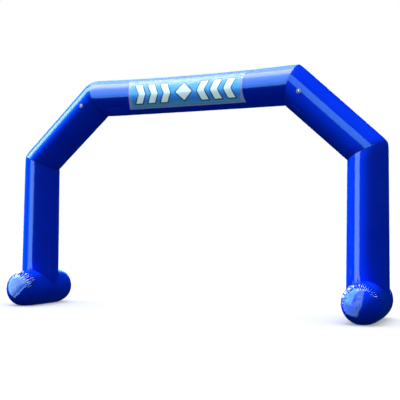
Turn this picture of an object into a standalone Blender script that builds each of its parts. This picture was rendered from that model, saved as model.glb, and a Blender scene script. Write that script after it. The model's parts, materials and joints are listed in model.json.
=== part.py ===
"""Inflatable event arch: five mitred cloth tubes on two round feet, with a banner and two tie rings.

Run with: blender --background --python part.py
Metres, +Z up, +X along the span. The front, with the banner, faces -Y. The origin is on the ground,
midway between the feet. "Left" is the -X side. Every tube is an open-ended skin of coated cloth that air
holds round, and each piece keeps a seam's gap to the pieces that it is welded or sewn to.
"""

from math import cos, floor, pi, radians, sin, sqrt

import bmesh
import bpy
from mathutils import Vector

# Cloth
CLOTH = 0.002  # thickness of the coated cloth
SHEET = 0.001  # thickness of the banner's print and of its window
PATCH = 0.0015  # thickness of a ring patch
SEAM = 0.0003  # gap left between pieces that meet
SADDLE_SEAM = 0.0006  # the same where a leg is scribed to its foot, because both run in flat faces
SIDES = 36  # flat faces round a tube

# Centre line of the arch, which lies in the plane y = 0
LEG_X = 2.955  # leg axis, from the middle
KNEE_Z = 2.575  # height at which leg and rake axes cross
SHOULDER_X = 1.770  # where rake and beam axes cross
SHOULDER_Z = 3.678

# Radii of the tubes, to the outside of the cloth
LEG_BASE_RADIUS = 0.325
KNEE_RADIUS = 0.310
SHOULDER_RADIUS = 0.322
BEAM_MIDDLE_RADIUS = 0.305
BEAM_SAG = 0.021  # how far the beam's axis lies lower in the middle than at its ends
BEAM_SPANS = 8  # lengths that follow the waist of the beam

# Feet: round bars that lie along Y, as wide as the legs, drawn in towards both ends
FOOT_HALF_WIDTH = LEG_BASE_RADIUS
FOOT_HALF_HEIGHT = 0.325
FOOT_AXIS_Z = 0.300  # less than the half height, so the sole is pressed flat
FOOT_HALF_LENGTH = 0.735  # to the crown of the end cap
FOOT_FULLNESS = 4.0  # exponent of the drawn-in outline: 2 is an ellipse, more is squarer
CAP_SEAM_Y = 0.600  # where the end cap is gathered into the tube
FOOT_STATIONS = (0.30, 0.45, 0.54, CAP_SEAM_Y)  # distances from the middle at which the outline turns
CAP_CROWN_SHARES = (0.70, 0.45, 0.20)  # width of the cap's rings, as shares of the foot's half width

# Banner, by its angle round the beam: 0 faces the front, positive is upwards
PRINT_HALF_LENGTH = 0.980
PRINT_LOW, PRINT_HIGH = -48, 40  # degrees
WINDOW_HALF_LENGTH = 1.025  # at mid height, where its ends are drawn in
WINDOW_CORNER_REACH = 0.030  # how far the corners stand out past that
WINDOW_LOW, WINDOW_HIGH = -54, 46  # degrees
WINDOW_STEP = 0.006  # margin over which the window comes down from the print to the beam

# Tie rings, on the front of each rake
RING_FROM_KNEE = 1.370  # along the rake's axis
PATCH_RADIUS = 0.039
PATCH_SIDES = 24
KEEPER_WIDTH = 0.025
KEEPER_STRAP = 0.0016
KEEPER_UPPER_TAIL = 0.024  # from the ring's bar to the strap's upper end
KEEPER_LOWER_TAIL = 0.011
KEEPER_TUNNEL_SPANS = 6
KEEPER_PLAY = 0.0006  # of the ring's bar in the strap's tunnel
RING_WIRE_RADIUS = 0.0025
RING_HALF_WIDTH = 0.0165  # to the middle of the wire
RING_CORNER = 0.004  # bend between the bar and the bow
RING_WIRE_SIDES = 10
RING_CORNER_SPANS = 3
RING_BOW_SPANS = 12

FRONT = Vector((0, -1, 0))
UP = Vector((0, 0, 1))

# colour (linear), roughness, metallic, alpha
FINISHES = {
    "blue_coated_cloth": ((0.0, 0.035, 0.80), 0.22, 0.0, 1.0),
    "banner_print": ((0.05, 0.35, 0.75), 0.45, 0.0, 1.0),
    "clear_film": ((0.75, 0.88, 0.95), 0.15, 0.0, 0.35),
    "blue_webbing": ((0.0, 0.02, 0.35), 0.60, 0.0, 1.0),
    "ring_steel": ((0.62, 0.63, 0.65), 0.25, 1.0, 1.0),
}


def clear_scene():
    for obj in list(bpy.data.objects):
        bpy.data.objects.remove(obj, do_unlink=True)


def finish(name):
    """The Principled material of this name, made on first use."""
    found = bpy.data.materials.get(name)
    if found:
        return found
    colour, roughness, metallic, alpha = FINISHES[name]
    material = bpy.data.materials.new(name)
    material.use_nodes = True
    shader = material.node_tree.nodes["Principled BSDF"]
    shader.inputs["Base Color"].default_value = (*colour, 1.0)
    shader.inputs["Roughness"].default_value = roughness
    shader.inputs["Metallic"].default_value = metallic
    shader.inputs["Alpha"].default_value = alpha
    material.diffuse_color = (*colour, alpha)
    return material


def add_object(name, mesh_in_edit, material, sharp_angle=30):
    """Makes an object of this bmesh, with its faces pointing out and its round faces smooth."""
    bmesh.ops.recalc_face_normals(mesh_in_edit, faces=mesh_in_edit.faces)
    mesh = bpy.data.meshes.new(name)
    mesh_in_edit.to_mesh(mesh)
    mesh_in_edit.free()
    mesh.shade_smooth()
    mesh.set_sharp_from_angle(angle=radians(sharp_angle))
    mesh.materials.append(finish(material))
    obj = bpy.data.objects.new(name, mesh)
    bpy.context.scene.collection.objects.link(obj)
    return obj


def add_loop(mesh_in_edit, points):
    return [mesh_in_edit.verts.new(point) for point in points]


def join_loops(mesh_in_edit, first, second):
    """Fills the band between two closed loops of the same count."""
    for here in range(len(first)):
        following = (here + 1) % len(first)
        mesh_in_edit.faces.new((first[here], first[following], second[following], second[here]))


def make_skin(name, outer_rings, inner_rings, material):
    """A tube's skin, open at both ends: outer rings end to end, and the inner rings that match them."""
    edit = bmesh.new()
    loops = [add_loop(edit, ring) for ring in outer_rings + inner_rings[::-1]]
    for first, second in zip(loops, loops[1:] + loops[:1]):
        join_loops(edit, first, second)
    return add_object(name, edit, material)


def make_dome(name, outer_rings, outer_crown, inner_rings, inner_crown, material):
    """A domed disc of cloth: rings from its rim inwards on both faces, and the crown point of each."""
    edit = bmesh.new()
    sides = []
    for rings, crown in ((outer_rings, outer_crown), (inner_rings, inner_crown)):
        loops = [add_loop(edit, ring) for ring in rings]
        for first, second in zip(loops, loops[1:]):
            join_loops(edit, first, second)
        top = edit.verts.new(crown)
        last = loops[-1]
        for here in range(len(last)):
            edit.faces.new((last[here], last[(here + 1) % len(last)], top))
        sides.append(loops)
    join_loops(edit, sides[0][0], sides[1][0])
    return add_object(name, edit, material)


def make_sheet(name, grid_front, grid_back, material, sharp_angle=30):
    """A closed sheet from two matching grids of points, each a list of rows."""
    edit = bmesh.new()
    front = [add_loop(edit, row) for row in grid_front]
    back = [add_loop(edit, row) for row in grid_back]
    rows, columns = len(front), len(front[0])
    for grid in (front, back):
        for row in range(rows - 1):
            for column in range(columns - 1):
                edit.faces.new(
                    (
                        grid[row][column],
                        grid[row][column + 1],
                        grid[row + 1][column + 1],
                        grid[row + 1][column],
                    )
                )
    rim = [(0, column) for column in range(columns)]
    rim += [(row, columns - 1) for row in range(1, rows)]
    rim += [(rows - 1, column) for column in range(columns - 2, -1, -1)]
    rim += [(row, 0) for row in range(rows - 2, 0, -1)]
    join_loops(edit, [front[r][c] for r, c in rim], [back[r][c] for r, c in rim])
    return add_object(name, edit, material, sharp_angle)


def around():
    """The angles of a tube's corners, from 0 round to just under a full turn."""
    return [2 * pi * side / SIDES for side in range(SIDES)]


def ring_on_plane(centre, axis, outward, radius, plane_point, normal):
    """Where the lines of a round tube meet a plane: the ring of its mitred or square end."""
    ring = []
    for angle in around():
        start = centre + radius * (cos(angle) * FRONT + sin(angle) * outward)
        along = (plane_point - start).dot(normal) / axis.dot(normal)
        ring.append(start + along * axis)
    return ring


def rings_between(first, last, spans):
    """Both rings and those that divide the way from one to the other evenly."""
    return [
        [start.lerp(end, step / spans) for start, end in zip(first, last)]
        for step in range(spans + 1)
    ]


def knee(side):
    return Vector((side * LEG_X, 0, KNEE_Z))


def shoulder(side):
    return Vector((side * SHOULDER_X, 0, SHOULDER_Z))


def rake_axis(side):
    """Unit direction from the knee up to the shoulder."""
    return (shoulder(side) - knee(side)).normalized()


def rake_outward(side):
    """Unit direction from the rake's axis to the outside of the arch."""
    axis = rake_axis(side)
    return Vector((side * axis.z, 0, -side * axis.x))


def knee_normal(side):
    """Normal of the mitre between leg and rake, pointing from leg to rake."""
    return (UP + rake_axis(side)).normalized()


def shoulder_normal(side):
    """Normal of the mitre between rake and beam, pointing from rake to beam."""
    return (rake_axis(side) + Vector((-side, 0, 0))).normalized()


def foot_share(y):
    """Share of its full width that the foot keeps at this distance from its middle."""
    return (1 - (abs(y) / FOOT_HALF_LENGTH) ** FOOT_FULLNESS) ** (1 / FOOT_FULLNESS)


def foot_ring(x, y, share, inset):
    """Section across a foot at y, inset from its outside and pressed flat where it stands."""
    ring = []
    for angle in around():
        across = (FOOT_HALF_WIDTH * share - inset) * cos(angle)
        height = FOOT_AXIS_Z + (FOOT_HALF_HEIGHT * share - inset) * sin(angle)
        ring.append(Vector((x + across, y, max(height, inset))))
    return ring


def saddle_ring(side, radius):
    """The leg's lower end, scribed to the top of the foot that it stands on."""
    ring = []
    for angle in around():
        across, y = radius * sin(angle), -radius * cos(angle)
        share = foot_share(y)
        reach = across / (FOOT_HALF_WIDTH * share + SADDLE_SEAM)
        height = FOOT_AXIS_Z + (FOOT_HALF_HEIGHT * share + SADDLE_SEAM) * sqrt(1 - reach**2)
        ring.append(Vector((side * (LEG_X + across), y, height)))
    return ring


def make_leg(name, side):
    """Upright tube from the saddle on the foot to the mitre at the knee."""
    walls = []
    for inset in (0, CLOTH):
        normal = knee_normal(side)
        top = ring_on_plane(
            knee(side),
            UP,
            Vector((side, 0, 0)),
            KNEE_RADIUS - inset,
            knee(side) - normal * SEAM / 2,
            normal,
        )
        walls.append(rings_between(saddle_ring(side, LEG_BASE_RADIUS - inset), top, spans=2))
    return make_skin(name, *walls, "blue_coated_cloth")


def make_rake(name, side):
    """Slanting tube between the mitres at the knee and the shoulder."""
    walls = []
    for inset in (0, CLOTH):
        low_normal, high_normal = knee_normal(side), shoulder_normal(side)
        low = ring_on_plane(
            knee(side),
            rake_axis(side),
            rake_outward(side),
            KNEE_RADIUS - inset,
            knee(side) + low_normal * SEAM / 2,
            low_normal,
        )
        high = ring_on_plane(
            shoulder(side),
            rake_axis(side),
            rake_outward(side),
            SHOULDER_RADIUS - inset,
            shoulder(side) - high_normal * SEAM / 2,
            high_normal,
        )
        walls.append(rings_between(low, high, spans=2))
    return make_skin(name, *walls, "blue_coated_cloth")


def beam_half_length(angle, radius):
    """Length of the beam's line at this angle, from the middle to the mitre."""
    normal = shoulder_normal(1)
    return SHOULDER_X - SEAM / (2 * abs(normal.x)) + radius * sin(angle) * normal.z / abs(normal.x)


def beam_point(share, angle, lift, half_length):
    """A point over the beam: share of the half length from the middle, angle up from the front, and
    how far it lies outside the cloth."""
    waist = 1 - share**2
    radius = SHOULDER_RADIUS - (SHOULDER_RADIUS - BEAM_MIDDLE_RADIUS) * waist + lift
    axis_z = SHOULDER_Z - BEAM_SAG * waist
    return Vector((share * half_length, -radius * cos(angle), axis_z + radius * sin(angle)))


def make_beam(name):
    """Level tube between the two shoulders, with its waist and its slight sag."""
    walls = []
    for lift in (0, -CLOTH):
        rings = []
        for span in range(BEAM_SPANS + 1):
            share = 2 * span / BEAM_SPANS - 1
            rings.append(
                [
                    beam_point(share, angle, lift, beam_half_length(angle, SHOULDER_RADIUS + lift))
                    for angle in around()
                ]
            )
        walls.append(rings)
    return make_skin(name, *walls, "blue_coated_cloth")


def make_foot(name, side):
    """Round bar of cloth along Y, open where the end caps are gathered in."""
    distances = [-y for y in FOOT_STATIONS[::-1]] + [0.0] + list(FOOT_STATIONS)
    walls = [
        [foot_ring(side * LEG_X, y, foot_share(y), inset) for y in distances] for inset in (0, CLOTH)
    ]
    return make_skin(name, *walls, "blue_coated_cloth")


def make_cap(name, side, end):
    """Domed disc that closes a foot; end is -1 at the front and 1 at the back."""
    x = side * LEG_X
    rim_y = CAP_SEAM_Y + SEAM
    faces = []
    for inset in (0, CLOTH):
        rings = [foot_ring(x, end * rim_y, foot_share(rim_y), inset)]
        for share in CAP_CROWN_SHARES:
            y = FOOT_HALF_LENGTH * (1 - share**FOOT_FULLNESS) ** (1 / FOOT_FULLNESS) - inset
            rings.append(foot_ring(x, end * y, share, inset * share))
        crown = Vector((x, end * (FOOT_HALF_LENGTH - inset), FOOT_AXIS_Z))
        faces += [rings, crown]
    return make_dome(name, *faces, "blue_coated_cloth")


def over_beam(x, degrees, lift):
    """A point at x along the beam and this many degrees up from its front, lift outside its flat faces."""
    angle = radians(degrees)
    half_length = beam_half_length(angle, SHOULDER_RADIUS)
    place = (x / half_length + 1) * BEAM_SPANS / 2
    before = floor(place)
    ends = [
        beam_point(2 * span / BEAM_SPANS - 1, angle, lift, half_length) for span in (before, before + 1)
    ]
    return ends[0].lerp(ends[1], place - before)


def beam_corners_between(low, high):
    """Both angles and those of the beam's own corners between them, in degrees."""
    step = 360 / SIDES
    inner = [step * n for n in range(-SIDES // 2, SIDES // 2 + 1) if low < step * n < high]
    return [low, *inner, high]


def beam_stations(degrees, reach):
    """Where the beam's rings cross this angle, as far out as reach."""
    half_length = beam_half_length(radians(degrees), SHOULDER_RADIUS)
    places = [half_length * (2 * span / BEAM_SPANS - 1) for span in range(BEAM_SPANS + 1)]
    return [x for x in places if abs(x) < reach]


def make_print(name):
    """Printed sheet that follows the beam under the window."""
    grids = []
    for lift in (SEAM + SHEET, SEAM):
        grid = []
        for angle in beam_corners_between(PRINT_LOW, PRINT_HIGH):
            inner = beam_stations(angle, PRINT_HALF_LENGTH)
            row = [-PRINT_HALF_LENGTH, *inner, PRINT_HALF_LENGTH]
            grid.append([over_beam(x, angle, lift) for x in row])
        grids.append(grid)
    return make_sheet(name, *grids, "banner_print")


def window_reach(degrees):
    """Half length of the window at this angle: least at mid height, most at the corners."""
    middle = (WINDOW_LOW + WINDOW_HIGH) / 2
    from_middle = (degrees - middle) / (WINDOW_HIGH - middle)
    return WINDOW_HALF_LENGTH + WINDOW_CORNER_REACH * from_middle**2


def make_window(name):
    """Clear sheet over the print, stepping down to the beam at its margin."""
    step_angle = degrees_of(WINDOW_STEP)
    angles = beam_corners_between(PRINT_LOW, PRINT_HIGH)
    angles = [WINDOW_LOW, PRINT_LOW - 2 * step_angle, PRINT_LOW - step_angle, *angles]
    angles += [PRINT_HIGH + step_angle, PRINT_HIGH + 2 * step_angle, WINDOW_HIGH]
    raised_low, raised_high = PRINT_LOW - step_angle, PRINT_HIGH + step_angle
    raised_length = PRINT_HALF_LENGTH + WINDOW_STEP
    grids = []
    for thickness in (SHEET, 0):
        grid = []
        for angle in angles:
            edge = [window_reach(angle), raised_length + WINDOW_STEP, raised_length]
            inner = beam_stations(angle, PRINT_HALF_LENGTH)
            row = []
            for x in [-x for x in edge] + inner + edge[::-1]:
                raised = abs(x) <= raised_length and raised_low <= angle <= raised_high
                lift = SEAM + (SHEET + SEAM if raised else 0)
                row.append(over_beam(x, angle, lift + thickness))
            grid.append(row)
        grids.append(grid)
    return make_sheet(name, *grids, "clear_film", sharp_angle=60)


def degrees_of(arc):
    """Angle round the middle of the beam that this length of arc takes, in degrees."""
    return arc / BEAM_MIDDLE_RADIUS * 180 / pi


def on_rake(side, across, down, height):
    """A point by the tie ring: across and down from its bar, and height over the rake's cloth."""
    axis, outward = rake_axis(side), rake_outward(side)
    offset = Vector((across, 0, -down))
    along = RING_FROM_KNEE + offset.dot(axis)
    length = (shoulder(side) - knee(side)).length
    radius = KNEE_RADIUS + (SHOULDER_RADIUS - KNEE_RADIUS) * along / length
    angle = offset.dot(outward) / radius
    spoke = (radius + height) * (cos(angle) * FRONT + sin(angle) * outward)
    return knee(side) + along * axis + spoke


def make_patch(name, side):
    """Round patch that follows the rake, with a slightly thinner edge."""
    faces = []
    for bottom in (False, True):
        rings = []
        for share, thickness in ((1.0, PATCH / 2), (0.9, PATCH), (0.45, PATCH)):
            rings.append(
                [
                    on_rake(
                        side,
                        PATCH_RADIUS * share * cos(2 * pi * n / PATCH_SIDES),
                        PATCH_RADIUS * share * sin(2 * pi * n / PATCH_SIDES),
                        SEAM + (0 if bottom else thickness),
                    )
                    for n in range(PATCH_SIDES)
                ]
            )
        faces += [rings, on_rake(side, 0, 0, SEAM + (0 if bottom else PATCH))]
    return make_dome(name, *faces, "blue_coated_cloth")


def ring_height():
    """Height of the middle of the ring's wire over the rake's cloth."""
    return 3 * SEAM + PATCH + RING_WIRE_RADIUS


def make_keeper(name, side):
    """Strap sewn to the patch above and below the ring's bar, and lifted in a tunnel over the bar."""
    seat = 2 * SEAM + PATCH
    tunnel = RING_WIRE_RADIUS + KEEPER_PLAY
    path = [(-KEEPER_UPPER_TAIL, seat), (-2 * tunnel, seat)]
    for step in range(KEEPER_TUNNEL_SPANS + 1):
        angle = pi * (1 - step / KEEPER_TUNNEL_SPANS)
        path.append((tunnel * cos(angle), ring_height() + tunnel * sin(angle)))
    path += [(2 * tunnel, seat), (KEEPER_LOWER_TAIL, seat)]
    lifted = []
    for step, (down, height) in enumerate(path):
        before, after = path[max(step - 1, 0)], path[min(step + 1, len(path) - 1)]
        run = Vector((after[0] - before[0], after[1] - before[1])).normalized()
        lifted.append((down - run.y * KEEPER_STRAP, height + run.x * KEEPER_STRAP))
    grids = [
        [
            [on_rake(side, across, down, height) for down, height in line]
            for across in (-KEEPER_WIDTH / 2, 0, KEEPER_WIDTH / 2)
        ]
        for line in (lifted, path)
    ]
    return make_sheet(name, *grids, "blue_webbing")


def ring_path():
    """The D of the tie ring, as (across, down) points: its bar, two tight corners and a round bow."""
    corner, half = RING_CORNER, RING_HALF_WIDTH
    points = [(-half + corner, 0.0), (0.0, 0.0), (half - corner, 0.0)]
    quarter = [pi / 2 * step / RING_CORNER_SPANS for step in range(RING_CORNER_SPANS)]
    for angle in quarter[::-1]:
        points.append((half - corner + corner * cos(angle), corner - corner * sin(angle)))
    for step in range(1, RING_BOW_SPANS):
        angle = pi * step / RING_BOW_SPANS
        points.append((half * cos(angle), corner + half * sin(angle)))
    for angle in quarter:
        points.append((-half + corner - corner * cos(angle), corner - corner * sin(angle)))
    return points


def make_ring(name, side):
    """Steel wire bent to a D and hanging from its bar in front of the patch."""
    origin = on_rake(side, 0, 0, ring_height())
    path = [origin + Vector((across, 0, -down)) for across, down in ring_path()]
    edit = bmesh.new()
    loops = []
    for here, point in enumerate(path):
        run = (path[(here + 1) % len(path)] - path[here - 1]).normalized()
        sideways = run.cross(FRONT).normalized()
        loops.append(
            add_loop(
                edit,
                [
                    point + RING_WIRE_RADIUS * (cos(angle) * FRONT + sin(angle) * sideways)
                    for angle in (2 * pi * n / RING_WIRE_SIDES for n in range(RING_WIRE_SIDES))
                ],
            )
        )
    for first, second in zip(loops, loops[1:] + loops[:1]):
        join_loops(edit, first, second)
    return add_object(name, edit, "ring_steel", sharp_angle=60)


def main():
    clear_scene()
    for label, side in (("left", -1), ("right", 1)):
        make_foot(f"{label}_foot", side)
        make_cap(f"{label}_front_cap", side, end=-1)
        make_cap(f"{label}_back_cap", side, end=1)
        make_leg(f"{label}_leg", side)
        make_rake(f"{label}_rake", side)
        make_patch(f"{label}_patch", side)
        make_keeper(f"{label}_keeper", side)
        make_ring(f"{label}_ring", side)
    make_beam("beam")
    make_print("banner_print")
    make_window("banner_window")


main()
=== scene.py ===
"""Inflatable event arch: coated cloth tubes, pleated feet, a banner and tie rings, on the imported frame.

Metres, +Z up, +X along the span, and the front with the banner faces -Y. "Left" is the -X side.
A tube starts as an open cylinder that is cut at its seams, divided into rings and laid on the skin of the
part, with the hollows and puckers that a welded seam leaves in cloth under air. Both feet are closed round
bars, cut into a tube and two caps where the cloth is gathered.
"""

import json
import logging
from collections.abc import Iterator
from contextlib import contextmanager
from dataclasses import dataclass, field
from enum import Enum
from math import atan2, cos, degrees, pi, radians, sin, sqrt, tan

import bpy
import numpy as np
from mathutils import Matrix, Vector, noise

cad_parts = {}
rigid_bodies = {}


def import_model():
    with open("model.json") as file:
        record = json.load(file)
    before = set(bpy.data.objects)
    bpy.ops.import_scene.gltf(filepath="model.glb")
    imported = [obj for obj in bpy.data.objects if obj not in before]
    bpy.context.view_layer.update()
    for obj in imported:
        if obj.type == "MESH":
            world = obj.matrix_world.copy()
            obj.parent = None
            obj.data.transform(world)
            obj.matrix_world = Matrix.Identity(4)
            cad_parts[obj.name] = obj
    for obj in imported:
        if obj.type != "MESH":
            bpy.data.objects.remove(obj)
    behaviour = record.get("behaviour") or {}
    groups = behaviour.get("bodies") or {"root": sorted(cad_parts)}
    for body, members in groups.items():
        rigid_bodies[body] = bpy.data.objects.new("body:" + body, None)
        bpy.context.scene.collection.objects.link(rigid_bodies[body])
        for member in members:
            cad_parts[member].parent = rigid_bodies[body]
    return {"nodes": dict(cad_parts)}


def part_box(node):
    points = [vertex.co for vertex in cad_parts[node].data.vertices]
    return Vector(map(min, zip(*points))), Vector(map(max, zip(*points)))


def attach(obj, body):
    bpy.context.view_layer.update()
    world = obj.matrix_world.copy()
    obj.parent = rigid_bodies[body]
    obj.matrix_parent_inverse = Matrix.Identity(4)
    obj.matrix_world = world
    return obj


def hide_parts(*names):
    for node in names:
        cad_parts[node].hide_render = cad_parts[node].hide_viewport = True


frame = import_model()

LOG = logging.getLogger("arch")

ACROSS = Vector((1, 0, 0))
FRONT = Vector((0, -1, 0))
UP = Vector((0, 0, 1))
CLOTH = 0.002  # thickness of the coated cloth
SHEET = 0.001  # thickness of the banner's print and of its window
SEAM_GAP = 0.0003  # between pieces that are welded together
NOISE_STEPS = (7.3, 3.1, 5.7)  # how far one seed's noise lies from the next one's

Obj = bpy.types.Object
Tree = bpy.types.NodeTree
Socket = bpy.types.NodeSocket
Pieces = dict[str, Obj]
Groups = dict[str, list[Obj]]
Inputs = dict[str | int, object]  # for each input of a node, a value or the socket to link to it
Colour = tuple[float, float, float]
Span = tuple[float, float]
Points = np.ndarray


class Side(Enum):
    """The two halves of the arch."""

    LEFT = -1
    RIGHT = 1

    @property
    def label(self) -> str:
        """The first word of this side's names."""
        return self.name.lower()

    @property
    def outward(self) -> Vector:
        """Unit direction from the arch's middle to this side."""
        return Vector((self.value, 0, 0))


# ---------------------------------------------------------------- measuring the frame


@dataclass(frozen=True)
class ArchSizes:
    """Driving sizes of the arch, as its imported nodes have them."""

    leg_x: float
    leg_radius: float
    knee_z: float
    knee_radius: float
    shoulder_x: float
    shoulder_z: float
    shoulder_radius: float
    beam_low: float
    foot_half_width: float
    foot_axis_z: float
    foot_seam_y: float
    foot_half_length: float

    @classmethod
    def measured(cls) -> "ArchSizes":
        """Works the sizes out from the boxes of the right half's nodes.

        Returns:
            The sizes.
        """
        leg_low, leg_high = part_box("right_leg")
        rake_low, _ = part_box("right_rake")
        beam_low, beam_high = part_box("beam")
        foot_low, foot_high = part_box("right_foot")
        cap_low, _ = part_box("right_front_cap")
        knee_z = (leg_high.z + rake_low.z) / 2
        shoulder_x = (beam_high.x + rake_low.x) / 2
        leg_x = (leg_low.x + leg_high.x) / 2
        shoulder_z = beam_high.z - beam_high.y
        slope = atan2(leg_x - shoulder_x, shoulder_z - knee_z)
        half_width = (foot_high.x - foot_low.x) / 2
        return cls(
            leg_x=leg_x,
            leg_radius=leg_high.y,
            knee_z=knee_z,
            knee_radius=(leg_high.z - knee_z) / tan(slope / 2),
            shoulder_x=shoulder_x,
            shoulder_z=shoulder_z,
            shoulder_radius=beam_high.y,
            beam_low=beam_low.z,
            foot_half_width=half_width,
            foot_axis_z=foot_high.z - half_width,
            foot_seam_y=foot_high.y,
            foot_half_length=-cap_low.y,
        )

    def foot_middle(self, side: Side) -> Vector:
        """Where the axes of leg and foot cross."""
        return Vector((side.value * self.leg_x, 0, self.foot_axis_z))

    def knee(self, side: Side) -> Vector:
        """Where the axes of leg and rake cross."""
        return Vector((side.value * self.leg_x, 0, self.knee_z))

    def shoulder(self, side: Side) -> Vector:
        """Where the axes of rake and beam cross."""
        return Vector((side.value * self.shoulder_x, 0, self.shoulder_z))

    def rake_axis(self, side: Side) -> Vector:
        """Unit direction from the knee up to the shoulder."""
        return (self.shoulder(side) - self.knee(side)).normalized()

    def rake_outward(self, side: Side) -> Vector:
        """Unit direction from the rake's axis to the outside of the arch."""
        axis = self.rake_axis(side)
        return Vector((side.value * axis.z, 0, -side.value * axis.x))

    def knee_normal(self, side: Side) -> Vector:
        """Normal of the mitre between leg and rake, from leg to rake."""
        return (UP + self.rake_axis(side)).normalized()

    def shoulder_normal(self, side: Side) -> Vector:
        """Normal of the mitre between rake and beam, from rake to beam."""
        return (self.rake_axis(side) - side.outward).normalized()


# ---------------------------------------------------------------- bench tools


def choose(obj: Obj) -> None:
    """Selects an object alone and makes it the active one.

    Args:
        obj: The object.
    """
    for other in bpy.context.selected_objects:
        other.select_set(False)
    obj.select_set(True)
    bpy.context.view_layer.objects.active = obj


@contextmanager
def editing(obj: Obj, kind: str = "VERT", chosen: Points | None = None) -> Iterator[None]:
    """Edit mode on one object.

    Args:
        obj: The object to edit.
        kind: What is selected: VERT, EDGE or FACE.
        chosen: A flag for each edge or face, on where it is selected. Without it, all are.
    """
    choose(obj)
    mesh = obj.data
    parts = {"VERT": mesh.vertices, "EDGE": mesh.edges, "FACE": mesh.polygons}
    bpy.context.tool_settings.mesh_select_mode = [kind == each for each in parts]
    for each, items in parts.items():
        flags = chosen if chosen is not None and each == kind else np.full(len(items), chosen is None)
        items.foreach_set("select", flags)
    bpy.ops.object.mode_set(mode="EDIT")
    yield
    bpy.ops.object.mode_set(mode="OBJECT")


def newest(name: str) -> Obj:
    """Names the primitive that was just added, and moves its place into its mesh.

    Args:
        name: Its name.

    Returns:
        The primitive.
    """
    obj = bpy.context.object
    obj.name = obj.data.name = name
    choose(obj)
    bpy.ops.object.transform_apply(location=True, rotation=True, scale=True)
    return obj


def read_points(obj: Obj) -> Points:
    """Reads the vertices of an object.

    Args:
        obj: The object.

    Returns:
        Their places, one row each.
    """
    flat = np.empty(len(obj.data.vertices) * 3)
    obj.data.vertices.foreach_get("co", flat)
    return flat.reshape(-1, 3)


def write_points(obj: Obj, points: Points) -> None:
    """Moves the vertices of an object to these rows."""
    obj.data.vertices.foreach_set("co", points.astype(np.float32).ravel())
    obj.data.update()


def edge_runs(obj: Obj) -> Points:
    """Measures which way the edges of an object run.

    Args:
        obj: The object.

    Returns:
        The unit direction of each edge, one row each.
    """
    ends = np.empty(len(obj.data.edges) * 2, int)
    obj.data.edges.foreach_get("vertices", ends)
    points = read_points(obj)[ends.reshape(-1, 2)]
    runs = points[:, 1] - points[:, 0]
    return runs / np.linalg.norm(runs, axis=1, keepdims=True)


def write_layout(obj: Obj, across: Points, along: Points, period: float = 0.0) -> None:
    """Gives a mesh a UV map in metres, which weave and print follow.

    Args:
        obj: The object to map.
        across: Metres across the cloth, one value a vertex.
        along: Metres along it.
        period: Girth of a closed tube, so that no face runs back round it; 0 for an open sheet.
    """
    mesh = obj.data
    corners = np.empty(len(mesh.loops), int)
    mesh.loops.foreach_get("vertex_index", corners)
    u, v = across[corners], along[corners]
    if period:
        starts, counts = np.empty((2, len(mesh.polygons)), int)
        mesh.polygons.foreach_get("loop_start", starts)
        mesh.polygons.foreach_get("loop_total", counts)
        first = np.repeat(u[starts], counts)
        u = u + period * np.round((first - u) / period)
    layer = mesh.uv_layers.active or mesh.uv_layers.new(name="metres")
    layer.name = "metres"
    layer.data.foreach_set("uv", np.stack([u, v], 1).astype(np.float32).ravel())


def write_wear(obj: Obj, closeness: Points) -> None:
    """Stores how close each vertex is to a welded seam, from 0 to 1, for the cloth's finish; on the tie patch
    the same values mark where a highlight is painted round its rim.
    """
    values = obj.data.attributes.new("seam", "FLOAT", "POINT")
    values.data.foreach_set("value", closeness.astype(np.float32))


def add_wall(obj: Obj, thickness: float, corner: float = 60) -> None:
    """Gives a surface its wall, inwards from the faces that are there, and shades it smooth.

    Args:
        obj: The surface.
        thickness: Of the wall.
        corner: Degrees past which an edge stays sharp.
    """
    choose(obj)
    wall = obj.modifiers.new("wall", "SOLIDIFY")
    wall.thickness = thickness
    wall.offset = -1
    wall.use_even_offset = False
    bpy.ops.object.modifier_apply(modifier=wall.name)
    bpy.ops.object.shade_smooth_by_angle(angle=radians(corner))


def waves(seed: int, count: int) -> Points:
    """The same random numbers from 0 to 1 on every run."""
    return np.random.RandomState(seed).rand(count)


def ripple(points: Points, length: float, seed: int) -> Points:
    """Slow unevenness of cloth under air at these points, from -1 to 1, with this length between crests."""
    shift = Vector([seed * step for step in NOISE_STEPS])
    return np.array([noise.noise(Vector(point) / length + shift) for point in points])


def bell(distance: Points, reach: float, power: int = 2) -> Points:
    """A bump that is 1 at distance 0 and has all but gone at twice the reach."""
    return np.exp(-((distance / reach) ** power))


# ---------------------------------------------------------------- finishes


def linear(code: str) -> tuple[float, float, float, float]:
    """Turns an sRGB colour into the linear one that shaders take.

    Args:
        code: Its hex code.

    Returns:
        Red, green, blue and an opaque alpha.
    """
    parts = [int(code[place : place + 2], 16) / 255 for place in (1, 3, 5)]
    red, green, blue = (c / 12.92 if c <= 0.04045 else ((c + 0.055) / 1.055) ** 2.4 for c in parts)
    return red, green, blue, 1.0


def set_inputs(node: bpy.types.Node, inputs: Inputs) -> None:
    """Sets or links a node's inputs.

    Args:
        node: The node.
        inputs: What each input, by name or number, gets.
    """
    for key, value in inputs.items():
        if isinstance(value, Socket):
            node.id_data.links.new(value, node.inputs[key])
        else:
            node.inputs[key].default_value = value


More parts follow.
